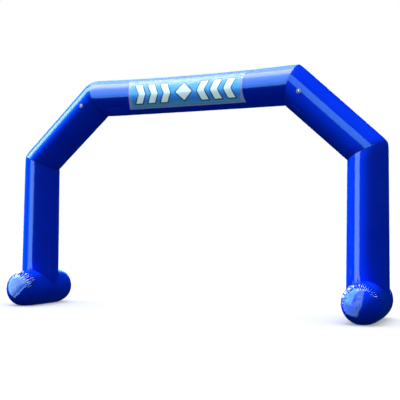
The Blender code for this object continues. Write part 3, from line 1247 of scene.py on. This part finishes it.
@dataclass
class TieRing:
    """Round patch welded to the front of a rake, with a strap that holds a steel ring."""

    side: Side
    rake: Tube
    along: float  # how far up the rake the ring's bar lies
    patch_radius: float = 0.039
    patch_sides: int = 72
    patch_height: float = 0.0015
    patch_skin: float = 0.0004
    rim: float = 0.0085  # width of the painted highlight round the patch's rim
    rim_bead: float = 0.0034  # how far in from the edge the rim's bead is highest, where the painted rim highlight comes to full strength
    insets: tuple = (0.0012, 0.0022, 0.0026, 0.0030, 0.0036, 0.0040, 0.0065, 0.0080)  # from ring to ring
    inset_from_edge: tuple = (0, 0.0012, 0.0034, 0.0060, 0.0090, 0.0126, 0.0166)
    height_there: tuple = (0.0004, 0.0012, 0.0018, 0.0012, 0.0009, 0.0015, 0.0015)
    keeper_width: float = 0.025
    keeper_strap: float = 0.0016
    keeper_grid: tuple[int, int] = (12, 56)  # faces across and down
    keeper_edge: float = 0.0003  # how far the strap's edges are drawn down
    upper_tail: float = 0.024
    lower_tail: float = 0.011
    wire_radius: float = 0.0025
    play: float = 0.0006
    leaves: float = 0.8  # tunnel radii from the bar to where the strap leaves its round
    lands: float = 2.0  # and to where it lies flat

    def on_rake(self, across: Points, down: Points, height: Points) -> Points:
        """Lays flat places on the rake.

        Args:
            across: From the ring's bar, towards +X.
            down: From there.
            height: Over the rake.

        Returns:
            The points, one row each.
        """
        rake = self.rake
        offset = np.outer(across, ACROSS) - np.outer(down, UP)
        along = self.along + offset @ np.array(rake.axis)
        share = along / (rake.end - rake.start).length
        radius = rake.start_radius + (rake.end_radius - rake.start_radius) * share
        spokes = rake.spokes(offset @ np.array(rake.outward) / radius)
        return np.array(rake.start) + np.outer(along, rake.axis) + spokes * (radius + height)[:, None]

    def build_patch(self) -> Obj:
        """Makes a disc with a welded rim: a raised bead outside and a shallow ring of weld inside it, and
        marks the rim for a painted highlight.

        Returns:
            The patch.
        """
        sides, radius = self.patch_sides, self.patch_radius
        bpy.ops.mesh.primitive_circle_add(vertices=sides, radius=radius, fill_type="NGON")
        obj = newest(f"{self.side.label}_patch_disc")
        with editing(obj, "FACE"):
            for step in self.insets:
                bpy.ops.mesh.inset(thickness=step)
            bpy.ops.mesh.poke()
        flat = read_points(obj)
        inset = radius - np.hypot(flat[:, 0], flat[:, 1])
        heights = np.interp(inset, self.inset_from_edge, self.height_there)
        write_points(obj, self.on_rake(flat[:, 0], -flat[:, 1], SEAM_GAP + heights))
        write_layout(obj, flat[:, 0], flat[:, 1])
        # the patch's rim gets a painted highlight from these values, on its dark cloth, which is painted
        # shade
        faintest, full = 0.2, 1.6  # of the painted rim highlight at the very edge, and before it is capped at 1
        rim_highlight = np.clip(full - inset / self.rim, 0, 1)
        write_wear(obj, rim_highlight * np.clip(inset / self.rim_bead, faintest, 1))
        add_wall(obj, self.patch_skin, corner=50)
        return obj

    def strap_height(self, run: Points) -> Points:
        """Height of the strap over the rake: flat tails, and a tunnel over the ring's bar between them.

        Args:
            run: Places down the rake from the bar.

        Returns:
            The height of the strap's outside.
        """
        seat = 2 * SEAM_GAP + self.patch_height + self.keeper_strap
        tunnel = self.wire_radius + self.play + self.keeper_strap
        centre = seat - self.keeper_strap + self.wire_radius + SEAM_GAP
        arch = np.sqrt(np.clip(tunnel**2 - run**2, 0, None)) + centre
        away = np.abs(run) / tunnel
        blend = np.clip((away - self.leaves) / (self.lands - self.leaves), 0, 1)
        return np.where(away < self.lands, arch * (1 - blend) + seat * blend, seat)

    def build_keeper(self) -> Obj:
        """Makes a short strap, sewn down above and below the tunnel that holds the ring's bar.

        Returns:
            The strap.
        """
        length = self.upper_tail + self.lower_tail
        columns, rows = self.keeper_grid
        bpy.ops.mesh.primitive_grid_add(x_subdivisions=columns, y_subdivisions=rows, size=1.0)
        obj = newest(f"{self.side.label}_keeper_strap")
        flat = read_points(obj)
        across = flat[:, 0] * self.keeper_width
        run = -(flat[:, 1] + 0.5) * length + self.lower_tail
        height = self.strap_height(run) - self.keeper_edge * (2 * flat[:, 0]) ** 6
        write_points(obj, self.on_rake(across, run, height))
        write_layout(obj, across, run)
        add_wall(obj, self.keeper_strap, corner=50)
        return obj

    def build(self) -> Pieces:
        """Makes the patch and the keeper."""
        return {"patch": self.build_patch(), "keeper": self.build_keeper()}

    def dress(self, pieces: Pieces, finishes: Finishes) -> None:
        """Finishes both pieces, and the ring that the frame already has in its true shape.

        Args:
            pieces: The patch and the keeper.
            finishes: The materials.
        """
        label = self.side.label
        dress(pieces["patch"], finishes.patch, f"{label}_patch")
        dress(pieces["keeper"], finishes.webbing, f"{label}_keeper")
        ring = frame["nodes"][f"{label}_ring"]
        ring.data.materials.clear()
        ring.data.materials.append(finishes.steel)


# ---------------------------------------------------------------- banner


@dataclass
class Banner:
    """Printed sheet over the front of the beam, and the clear window over it."""

    beam: BeamTube
    print_half_length: float = 0.980
    print_low: float = -48.0  # degrees round the beam, 0 at the front and more upwards
    print_high: float = 40.0
    window_half_length: float = 1.025
    corner_reach: float = 0.030
    corner_sharpness: float = 2.5
    window_low: float = -54.0
    window_high: float = 46.0
    step: float = 0.006  # margin over which the window comes down from the print to the beam
    radius: float = 0.305
    crease: float = 0.0016  # depth of the fold along the middle
    crease_at: float = -5.5  # degrees round the beam
    crease_width: float = 1.1
    waver: tuple = (0.65, 0.35, 5, 1)  # share of that depth, how far and fast it varies, and its start
    fold: float = 0.0014  # depth of the short folds along the upper edge
    fold_length: float = 0.16
    fold_drift: float = 7.0  # how fast their spacing varies
    fold_sharpness: int = 3
    fold_reach: float = 16.0  # degrees down from the edge
    print_grid: tuple[int, int] = (240, 56)  # faces across and up
    window_grid: tuple[int, int] = (260, 64)

    def sheet_grid(self, name: str, columns: int, rows: int) -> tuple[Obj, Points, Points]:
        """Makes a flat upright grid.

        Args:
            name: Of the sheet.
            columns: Faces across it.
            rows: Faces up it.

        Returns:
            The grid, and each vertex's place across and up it from 0 to 1.
        """
        bpy.ops.mesh.primitive_grid_add(
            x_subdivisions=columns, y_subdivisions=rows, size=1.0, rotation=(pi / 2, 0, 0)
        )
        obj = newest(name)
        flat = read_points(obj)
        return obj, flat[:, 0] + 0.5, flat[:, 2] + 0.5

    def wrinkles(self, along: Points, angles: Points) -> Points:
        """Small folds of the sheets: a crease along the middle and short ones at the upper edge.

        Args:
            along: Metres from the middle.
            angles: Degrees round the beam.

        Returns:
            Their height, above 0.
        """
        steady, gain, rate, start = self.waver
        waver = steady + gain * np.sin(rate * along + start)
        crease = self.crease * bell(angles - self.crease_at, self.crease_width) * waver
        top = np.clip((angles - self.print_high + self.fold_reach) / self.fold_reach, 0, 1)
        crest = np.sin(2 * pi * along / self.fold_length + np.sin(self.fold_drift * along))
        return crease + self.fold * top * np.clip(crest, 0, 1) ** self.fold_sharpness

    def lay(self, obj: Obj, along: Points, angles: Points, lift: Points) -> Obj:
        """Lays a sheet over the beam and gives it its thickness.

        Args:
            obj: The flat sheet.
            along: Metres from the middle.
            angles: Degrees round the beam.
            lift: Height of its outside over the beam.

        Returns:
            The sheet.
        """
        turns = np.radians(angles)
        write_points(obj, self.beam.over(along, turns) + self.beam.spokes(turns) * lift[:, None])
        middle = (self.print_low + self.print_high) / 2
        write_layout(obj, along, np.radians(angles - middle) * self.radius)
        add_wall(obj, SHEET)
        return obj

    def build_print(self) -> Obj:
        """Makes the printed sheet.

        Returns:
            The sheet.
        """
        obj, across, up = self.sheet_grid("banner_print_sheet", *self.print_grid)
        along = (2 * across - 1) * self.print_half_length
        angles = self.print_low + (self.print_high - self.print_low) * up
        return self.lay(obj, along, angles, SEAM_GAP + SHEET + self.wrinkles(along, angles))

    def build_window(self) -> Obj:
        """Makes the clear sheet, down on the beam round its margin.

        Returns:
            The sheet.
        """
        obj, across, up = self.sheet_grid("banner_window_sheet", *self.window_grid)
        angles = self.window_low + (self.window_high - self.window_low) * up
        reach = self.window_half_length + self.corner_reach * np.abs(2 * up - 1) ** self.corner_sharpness
        along = (2 * across - 1) * reach
        step_angle = degrees(self.step / self.radius)
        over_ends = (self.print_half_length + 2 * self.step - np.abs(along)) / self.step
        over_low = (angles - self.print_low) / step_angle + 2
        over_high = (self.print_high - angles) / step_angle + 2
        raised = np.clip(np.minimum(np.minimum(over_ends, over_low), over_high), 0, 1)
        raised = raised**2 * (3 - 2 * raised)
        lift = SEAM_GAP + SHEET + raised * (SHEET + SEAM_GAP + self.wrinkles(along, angles))
        return self.lay(obj, along, angles, lift)

    def build(self) -> Pieces:
        """Makes both sheets."""
        return {"print": self.build_print(), "window": self.build_window()}

    def dress(self, pieces: Pieces, finishes: Finishes) -> None:
        """Finishes both sheets and says what they stand for.

        Args:
            pieces: The print and the window.
            finishes: The materials.
        """
        dress(pieces["print"], finishes.print, "banner_print")
        dress(pieces["window"], finishes.film, "banner_window")


# ---------------------------------------------------------------- the arch


PLEATS = {Side.LEFT: (41, 11), Side.RIGHT: (57, 23)}  # how many each foot has, and their seed


@dataclass
class Arch:
    """All tubes, feet, rings and the banner."""

    sizes: ArchSizes
    finishes: Finishes
    groups: Groups = field(default_factory=dict)  # the pieces by the name of their light frame

    def seam_place(self, place: Vector, normal: Vector, facing: int) -> Vector:
        """A mitre's place, drawn back from its neighbour by half the seam's gap."""
        return place + normal * (facing * SEAM_GAP / 2)

    def leg(self, side: Side) -> LegTube:
        """Sizes one leg.

        Args:
            side: Its side.

        Returns:
            The leg.
        """
        sizes = self.sizes
        normal = sizes.knee_normal(side)
        return LegTube(
            name=f"{side.label}_leg_tube",
            node=f"{side.label}_leg",
            start=sizes.foot_middle(side),
            end=self.seam_place(sizes.knee(side), normal, -1),
            outward=side.outward,
            start_radius=sizes.leg_radius,
            end_radius=sizes.knee_radius,
            start_normal=None,
            end_normal=normal,
            seed=3 + side.value,
            start_relief=SeamRelief(tip=0.0, hollow=0.002, pucker=0.0024, pucker_reach=0.100, all_round=1.0),
            sizes=sizes,
        )

    def rake(self, side: Side) -> Tube:
        """Sizes one rake.

        Args:
            side: Its side.

        Returns:
            The rake.
        """
        sizes = self.sizes
        low, high = sizes.knee_normal(side), sizes.shoulder_normal(side)
        return Tube(
            name=f"{side.label}_rake_tube",
            node=f"{side.label}_rake",
            start=self.seam_place(sizes.knee(side), low, 1),
            end=self.seam_place(sizes.shoulder(side), high, -1),
            outward=sizes.rake_outward(side),
            start_radius=sizes.knee_radius,
            end_radius=sizes.shoulder_radius,
            start_normal=low,
            end_normal=high,
            seed=8 + side.value,
            end_relief=self.shoulder_relief(side),
        )

    def shoulder_relief(self, side: Side) -> SeamRelief:
        """The left shoulder is rounder than the right one.

        Args:
            side: The shoulder's side.

        Returns:
            What its seam does to the cloth.
        """
        if side is Side.LEFT:
            return SeamRelief(tip=0.030, tip_reach=0.150, hollow=0.006)
        return SeamRelief(tip=0.005, tip_reach=0.060)

    def beam(self) -> BeamTube:
        """Sizes the beam.

        Returns:
            The beam.
        """
        sizes = self.sizes
        left, right = sizes.shoulder_normal(Side.LEFT), sizes.shoulder_normal(Side.RIGHT)
        return BeamTube(
            name="beam_tube",
            node="beam",
            start=self.seam_place(sizes.shoulder(Side.LEFT), left, 1),
            end=self.seam_place(sizes.shoulder(Side.RIGHT), right, 1),
            outward=UP,
            start_radius=sizes.shoulder_radius,
            end_radius=sizes.shoulder_radius,
            start_normal=left,
            end_normal=-right,
            seed=14,
            start_relief=self.shoulder_relief(Side.LEFT),
            end_relief=self.shoulder_relief(Side.RIGHT),
            spans=200,
            sag=sizes.shoulder_z - sizes.beam_low - (sizes.shoulder_radius - BeamTube.waist),
        )

    def note(self, group: str, *objs: Obj) -> None:
        """Remembers which lights these pieces answer to."""
        self.groups.setdefault(group, []).extend(objs)

    def build_side(self, side: Side) -> None:
        """Makes and dresses one half's leg, rake, foot and tie ring.

        Args:
            side: Which half.
        """
        label = side.label
        rake = self.rake(side)
        for group, tube in (("leg", self.leg(side)), ("rake", rake)):
            obj = tube.build()
            tube.dress(obj, self.finishes)
            self.note(f"{label}_{group}", obj)
        foot = Foot(side, self.sizes, *PLEATS[side])
        pieces = foot.build()
        foot.dress(pieces, self.finishes)
        self.note(f"{label}_cap", pieces[f"{label}_front_cap"])
        self.note(f"{label}_foot", pieces[f"{label}_foot"])
        self.note("back_caps", pieces[f"{label}_back_cap"])
        low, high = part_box(f"{label}_patch")
        tie = TieRing(side, rake, along=((low + high) / 2 - rake.start).dot(rake.axis))
        pieces = tie.build()
        tie.dress(pieces, self.finishes)
        self.note("ties", *pieces.values(), frame["nodes"][f"{label}_ring"])

    def build(self) -> None:
        """Makes and dresses every piece."""
        for side in Side:
            self.build_side(side)
        beam = self.beam()
        piece = beam.build()
        beam.dress(piece, self.finishes)
        self.note("beam", piece)
        banner = Banner(beam)
        pieces = banner.build()
        banner.dress(pieces, self.finishes)
        self.note("banner", *pieces.values())


# ---------------------------------------------------------------- studio


@dataclass(frozen=True)
class LightFrame:
    """Directions from which the lights of one tube or foot are placed."""

    aim: Vector
    outward: Vector
    axis: Vector

    def directions(self, ring: float, tilt: float) -> tuple[Vector, Vector, Vector]:
        """The three directions of a light that faces the aim.

        Args:
            ring: Degrees round the axis, 0 at the front and more towards the outward side.
            tilt: Degrees from there towards the axis.

        Returns:
            Across it (round the axis), along it, and back to it from the aim.
        """
        spoke = FRONT * cos(radians(ring)) + self.outward * sin(radians(ring))
        across = self.outward * cos(radians(ring)) - FRONT * sin(radians(ring))
        along = self.axis * cos(radians(tilt)) - spoke * sin(radians(tilt))
        return across, along, spoke * cos(radians(tilt)) + self.axis * sin(radians(tilt))


def add_lamp(lamp: bpy.types.Light, place: Matrix, pieces: list[Obj]) -> Obj:
    """Puts a light into the scene.

    Args:
        lamp: The light's data.
        place: Where it stands and faces.
        pieces: All that it reaches.

    Returns:
        The light.
    """
    obj = bpy.data.objects.new(lamp.name, lamp)
    bpy.context.scene.collection.objects.link(obj)
    obj.matrix_world = place
    receivers = bpy.data.collections.new(lamp.name)
    for piece in pieces:
        receivers.objects.link(piece)
    obj.light_linking.receiver_collection = receivers
    return obj


class Lit(Enum):
    """Which pieces a far light reaches."""

    EVERYTHING = "all of the arch"
    OFF_GROUND = "all but the feet"
    FRONT = "the banner and the tie rings"
    FLOOR = "the floor"


@dataclass(frozen=True)
class Sun:
    """A far light that shades its pieces and isn't mirrored in them."""

    name: str
    azimuth: float  # degrees from the front towards +X
    elevation: float  # degrees above the horizon
    strength: float  # brightness of a white wall square to it
    spread: float = 12.0  # degrees that it spans, for soft edges of shade
    shaded: bool = True  # whether it throws shade
    lit: Lit = Lit.EVERYTHING

    def place(self, pieces: list[Obj]) -> None:
        """Sets the light up.

        Args:
            pieces: All that it reaches.
        """
        lamp = bpy.data.lights.new(self.name, "SUN")
        lamp.energy = self.strength * pi
        lamp.angle = radians(self.spread)
        lamp.use_shadow = self.shaded
        turned = Matrix(LightFrame(Vector(), ACROSS, UP).directions(self.azimuth, self.elevation))
        obj = add_lamp(lamp, turned.transposed().to_4x4(), pieces)
        obj.visible_glossy = False


@dataclass(frozen=True)
class Softbox:
    """A flat rectangular light that is only seen mirrored in its pieces.

    Its edges are angles in degrees: across in the plane square to the axis of its first group's light
    frame, and along that axis. A box with its own heading has them from there instead.
    """

    name: str
    groups: str  # names of the groups that it reaches, the first one's light frame being its own
    across: Span
    along: Span
    radiance: Colour
    fades: tuple[float, float, float, float] = (0, 0, 0, 0)  # share over which it dims at each edge
    heading: Span | None = None
    turn: float = 0.0
    alone: bool = False  # whether nothing but the pieces it reaches gets in its way
    distance: float = 14.0

    def fade(self, lamp: bpy.types.AreaLight, mirrored: bool) -> None:
        """Dims the light towards its edges, as a real softbox does.

        Args:
            lamp: The light's data.
            mirrored: Whether its width runs the other way.
        """
        lamp.use_nodes = True
        tree = lamp.node_tree
        place = add_node(tree, "NewGeometry", out="Parametric")
        parts = add_node(tree, "SeparateXYZ", {"Vector": place}).node.outputs
        left, right, low, high = self.fades
        if mirrored:
            left, right = right, left
        brightness = 1.0
        for axis, edge, share in (("X", 0, left), ("X", 1, right), ("Y", 0, low), ("Y", 1, high)):
            if share:
                span = {"Value": parts[axis], "From Min": edge, "From Max": abs(edge - share)}
                falling = add_node(tree, "MapRange", span, interpolation_type="SMOOTHSTEP")
                brightness = add_node(tree, "Math", {0: falling, 1: brightness}, operation="MULTIPLY")
        set_inputs(tree.nodes["Emission"], {"Strength": brightness})

    def place(self, light_frame: LightFrame, pieces: list[Obj]) -> None:
        """Sets the light up.

        Args:
            light_frame: The frame that its angles are in.
            pieces: All that it reaches.
        """
        ring, tilt = self.heading or (sum(self.across) / 2, 0.0)
        shift = 0.0 if self.heading else ring
        left, right = (self.distance * tan(radians(angle - shift)) for angle in self.across)
        low, high = (self.distance * tan(radians(angle)) for angle in self.along)
        across, along, back = light_frame.directions(ring, tilt)
        spin = Matrix.Rotation(radians(self.turn), 3, back)
        across, along = spin @ across, spin @ along
        mirrored = across.cross(along).dot(back) < 0
        lamp = bpy.data.lights.new(self.name, "AREA")
        lamp.shape = "RECTANGLE"
        lamp.size, lamp.size_y = right - left, high - low
        strongest = max(self.radiance)
        lamp.color = tuple(part / strongest for part in self.radiance)
        lamp.energy = strongest * pi * lamp.size * lamp.size_y
        if any(self.fades):
            self.fade(lamp, mirrored)
        centre = light_frame.aim + back * self.distance + across * (left + right) / 2
        centre = centre + along * (low + high) / 2
        turned = Matrix((-across if mirrored else across, along, back)).transposed().to_4x4()
        obj = add_lamp(lamp, Matrix.Translation(centre) @ turned, pieces)
        obj.visible_camera = obj.visible_diffuse = False
        if self.alone:
            obj.light_linking.blocker_collection = obj.light_linking.receiver_collection


BEAM = "beam banner"

# edges along a tube
OVER_BEAM = (-76, 25)
BESIDE_LEG = (-35, 35)
UP_LEFT_RAKE = (-50, 15)
UP_RIGHT_RAKE = (-15, 50)
ALL_ALONG = (-60, 60)

# headings
CAP_LIGHT = (-20, 20)
CAP_SIDE = (-45, 10)
CAP_SKY = (-112, 58)

# fades
EVEN = (0.08, 0.08, 0, 0)
MISTY = (0.25, 0.25, 0, 0)

BACK_GLOW = (2.6, 4.8, 6.0)  # radiance of the strips that are only seen from behind

# each one's name, groups, edges across and along, radiance, fades, heading, turn, and whether it is alone
SOFTBOXES = (
    ("beam_low", BEAM, (-6, 12), OVER_BEAM, (1.3, 3.9, 5.5)),
    ("beam_front", BEAM, (12, 32), OVER_BEAM, (2.1, 5.1, 7)),
    ("beam_middle", BEAM, (32, 50), OVER_BEAM, (3, 6, 8)),
    ("beam_upper", BEAM, (50, 60), OVER_BEAM, (4.6, 8, 9)),
    ("beam_bright", BEAM, (58, 92), OVER_BEAM, (9, 10.8, 13), (0.1, 0.1, 0, 0)),
    ("beam_top", BEAM, (90, 106), OVER_BEAM, (3.4, 5.2, 8)),
    ("beam_rear_top", BEAM, (106, 124), OVER_BEAM, (2.2, 3.6, 5)),
    ("beam_rear", BEAM, (124, 156), OVER_BEAM, (0.9, 1.6, 2.6)),
    ("left_leg_strip", "left_leg", (19.5, 50), BESIDE_LEG, (1.9, 4.2, 5), EVEN),
    ("left_leg_azure", "left_leg", (49, 60), BESIDE_LEG, (0.2, 2.4, 4), MISTY),
    ("left_leg_sky", "left_leg", (56, 130), BESIDE_LEG, (0, 0.3, 0.4), MISTY),
    ("right_leg_strip", "right_leg", (-66, -35), BESIDE_LEG, (2.6, 4.9, 5), EVEN),
    ("left_rake_blue", "left_rake", (40, 56), UP_LEFT_RAKE, (0, 1.3, 3), MISTY),
    ("left_rake_azure", "left_rake", (55, 69), UP_LEFT_RAKE, (0.1, 3.6, 6), (0.2, 0, 0, 0)),
    ("left_rake_white", "left_rake", (68, 91), UP_LEFT_RAKE, (6.3, 8.8, 9.6)),
    ("left_rake_pale", "left_rake", (91, 99), UP_LEFT_RAKE, (3.8, 6, 7.5)),
    ("left_rake_rim", "left_rake", (99, 125), UP_LEFT_RAKE, (0.2, 1.45, 2.6)),
    ("left_rake_edge", "left_rake", (125, 150), UP_LEFT_RAKE, (0.2, 0.7, 1.6)),
    ("right_rake_strip", "right_rake", (2, 42), UP_RIGHT_RAKE, (1, 3.1, 3), EVEN),
    ("left_cap_face", "left_cap", (-63, 75), (-32.4, 65), (2.2, 5.3, 9.7), (0.12, 0, 0, 0), CAP_LIGHT, 38.7),
    ("left_cap_glow", "left_cap", (-63, 75), (-24, 65), (4.2, 7.8, 4.4), (0.12, 0, 0.18, 0), CAP_LIGHT, 38.7),
    ("left_cap_sky", "left_cap", (-40, 40), (-30, 45), (9, 11, 12), (0.1, 0.1, 0.4, 0.3), CAP_SKY),
    ("right_cap_face", "right_cap", (-62, 45), (-24, 76), (3.5, 9, 5), (0, 0, 0.11, 0), CAP_SIDE, -4.5),
    ("right_cap_low", "right_cap", (-62, 44.5), (-60, 14), (1.4, 3, 5), (0, 0, 0.1, 0.2), CAP_SIDE, -20),
    ("right_cap_stripe", "right_cap", (14, 45), (-30, 76), (2, 2, 1), (0.6, 0, 0.12, 0), CAP_SIDE, -4.5),
    ("right_cap_sky", "right_cap", (-40, 40), (6, 48), (8.5, 11, 12.5), (0.1, 0.1, 0.5, 0.3), CAP_SKY),
    ("right_cap_glint", "right_cap", (-28, 28), (-24, 24), (13, 15.5, 17), EVEN, (-158, 43), 0, True),
    ("foot_sky", "left_foot right_foot", (-40, 40), (-33, 45), (11, 13, 13.5), (0.1, 0.1, 0.3, 0.1), CAP_SKY),
    ("left_foot_rim", "left_foot left_cap", (-25, 25), (-26, 20), (0.7, 1.8, 2.2), MISTY, (-145, 22)),
    ("right_foot_rim", "right_foot right_cap", (-25, 25), (-16, 20), (1.6, 2, 2.2), MISTY, (-150, 22)),
    ("beam_back", BEAM, (158, 176), ALL_ALONG, BACK_GLOW, EVEN),
    ("left_leg_back", "left_leg", (136, 154), BESIDE_LEG, BACK_GLOW, EVEN),
    ("right_leg_back", "right_leg", (-180, -162), BESIDE_LEG, BACK_GLOW, EVEN),
    ("left_rake_back", "left_rake", (142, 160), ALL_ALONG, BACK_GLOW, EVEN),
    ("right_rake_back", "right_rake", (-187, -169), ALL_ALONG, BACK_GLOW, EVEN),
    ("cap_back", "back_caps", (-30, 30), (-25, 35), (2, 4, 5), MISTY, (165, 35)),
    ("cap_back_sky", "back_caps", (-40, 40), (-30, 40), (9, 10, 10.5), MISTY, (100, 60)),
    ("tie_glint", "ties", (-60, 0), (10, 60), (1.6, 2, 2.6)),
)

SUNS = (
    Sun("key", -75, 52, 2.2),
    Sun("back_fill", -170, 30, 0.7, spread=40),
    Sun("under_fill", 0, -90, 0.05, spread=120, lit=Lit.OFF_GROUND),
    Sun("top_fill", -60, 80, 0.35, spread=60),
    Sun("banner_fill", 0, -15, 0.42, spread=60, lit=Lit.FRONT),
    Sun("floor_wash", 0, 90, 0.35, spread=100, lit=Lit.FLOOR),
    Sun("floor_fill", 0, 90, 0.60, spread=100, shaded=False, lit=Lit.FLOOR),
)


@dataclass(frozen=True)
class Camera:
    """The camera: at chest height, well to the right of the middle, and almost level."""

    place: tuple = (4.87173, -11.14833, 1.25357)
    yaw: float = 22.78374  # degrees to the left
    pitch: float = 2.84639  # degrees up
    roll: float = 0.65097  # degrees
    sensor_width: float = 36.0  # millimetres, as the lens
    lens: float = 65.376
    clip_end: float = 500.0

    def add(self) -> None:
        """Puts the camera into the scene and makes it the one that is rendered."""
        yaw, pitch, roll = radians(self.yaw), radians(self.pitch), radians(self.roll)
        forward = Vector((-sin(yaw) * cos(pitch), cos(yaw) * cos(pitch), sin(pitch)))
        level = Vector((cos(yaw), sin(yaw), 0))
        upright = level.cross(forward)
        right = level * cos(roll) + upright * sin(roll)
        top = upright * cos(roll) - level * sin(roll)
        lens = bpy.data.cameras.new("camera")
        lens.sensor_width = self.sensor_width
        lens.lens = self.lens
        lens.clip_end = self.clip_end
        camera = bpy.data.objects.new("camera", lens)
        bpy.context.scene.collection.objects.link(camera)
        turn = Matrix((right, top, -forward)).transposed().to_4x4()
        camera.matrix_world = Matrix.Translation(self.place) @ turn
        bpy.context.scene.camera = camera


@dataclass
class Studio:
    """White floor, pale surround, lights and camera."""

    sizes: ArchSizes
    finishes: Finishes
    floor_size: float = 160.0
    surround_up: Colour = (0.36, 0.39, 0.41)  # what lights the shade from above
    surround_down: Colour = (0.03, 0.04, 0.05)
    horizon: float = 0.15  # sine of the angle from level over which one gives way to the other
    mirrored: Colour = (0.0, 0.02, 0.07)  # what gloss shows where there is no light

    def light_frames(self) -> dict[str, LightFrame]:
        """Finds the light frame of each group of pieces.

        Returns:
            The frames by the groups' names.
        """
        sizes = self.sizes
        high = Vector((0, 0, sizes.shoulder_z))
        found = {
            "beam": LightFrame(high, UP, ACROSS),
            "ties": LightFrame(high, ACROSS, UP),
            "back_caps": LightFrame(Vector((0, 0, sizes.foot_axis_z)), ACROSS, UP),
        }
        for side in Side:
            foot, knee = sizes.foot_middle(side), sizes.knee(side)
            rake = (knee + sizes.shoulder(side)) / 2
            found[f"{side.label}_leg"] = LightFrame((foot + knee) / 2, side.outward, UP)
            found[f"{side.label}_rake"] = LightFrame(rake, sizes.rake_outward(side), sizes.rake_axis(side))
            found[f"{side.label}_cap"] = found[f"{side.label}_foot"] = LightFrame(foot, ACROSS, UP)
        return found

    def add_floor(self) -> Obj:
        """Adds the floor, which shows no mirror image in the arch.

        Returns:
            The floor.
        """
        bpy.ops.mesh.primitive_plane_add(size=self.floor_size)
        floor = newest("floor")
        floor.data.materials.append(self.finishes.floor)
        floor.visible_glossy = floor.visible_diffuse = floor.visible_shadow = False
        return floor

    def add_world(self) -> None:
        """White where it is seen, and even and dim, darker from below, where it lights the arch."""
        world = bpy.data.worlds.new("surround")
        bpy.context.scene.world = world
        world.use_nodes = True
        tree = world.node_tree
        tree.nodes.clear()
        path = add_node(tree, "LightPath").node.outputs
        heading = add_node(tree, "TexCoord", out="Generated")
        up = add_node(tree, "SeparateXYZ", {"Vector": heading}, "Z")
        span = {"Value": up, "From Min": -self.horizon, "From Max": self.horizon}
        height = add_node(tree, "MapRange", span)
        ends = {"Factor": height, "A": (*self.surround_down, 1), "B": (*self.surround_up, 1)}
        fade = add_node(tree, "Mix", ends, data_type="RGBA")
        dim = add_node(tree, "Background", {"Color": fade})
        deep = add_node(tree, "Background", {"Color": (*self.mirrored, 1)})
        white = add_node(tree, "Background", {"Color": (1, 1, 1, 1)})
        unseen = add_node(tree, "MixShader", {0: path["Is Glossy Ray"], 1: dim, 2: deep})
        whole = add_node(tree, "MixShader", {0: path["Is Camera Ray"], 1: unseen, 2: white})
        add_node(tree, "OutputWorld", {"Surface": whole})
        world.cycles.sampling_method = "NONE"

    def light(self, groups: Groups, floor: Obj) -> None:
        """Sets up the key light, the fills and the softboxes.

        Args:
            groups: Pieces by the name of their light frame.
            floor: The floor, which has lights of its own.
        """
        reached = {
            Lit.EVERYTHING: groups,
            Lit.OFF_GROUND: [name for name in groups if "foot" not in name and "cap" not in name],
            Lit.FRONT: ("banner", "ties"),
            Lit.FLOOR: ("floor",),
        }
        found = {**groups, "floor": [floor]}
        for sun in SUNS:
            sun.place([piece for name in reached[sun.lit] for piece in found[name]])
        frames = self.light_frames()
        for box in (Softbox(*row) for row in SOFTBOXES):
            names = box.groups.split()
            box.place(frames[names[0]], [piece for name in names for piece in groups[name]])

    def build(self, groups: Groups) -> None:
        """Sets the studio up round the arch.

        Args:
            groups: Pieces by the name of their light frame.
        """
        floor = self.add_floor()
        self.add_world()
        self.light(groups, floor)
        Camera().add()
        bpy.context.scene.view_settings.view_transform = "Standard"


def main() -> None:
    """Builds the arch and its studio."""
    logging.basicConfig(level=logging.INFO, format="%(message)s")
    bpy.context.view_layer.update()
    sizes = ArchSizes.measured()
    LOG.info("sizes: %s", sizes)
    finishes = Finishes()
    arch = Arch(sizes, finishes)
    arch.build()
    Studio(sizes, finishes).build(arch.groups)


if __name__ == "__main__":
    main()
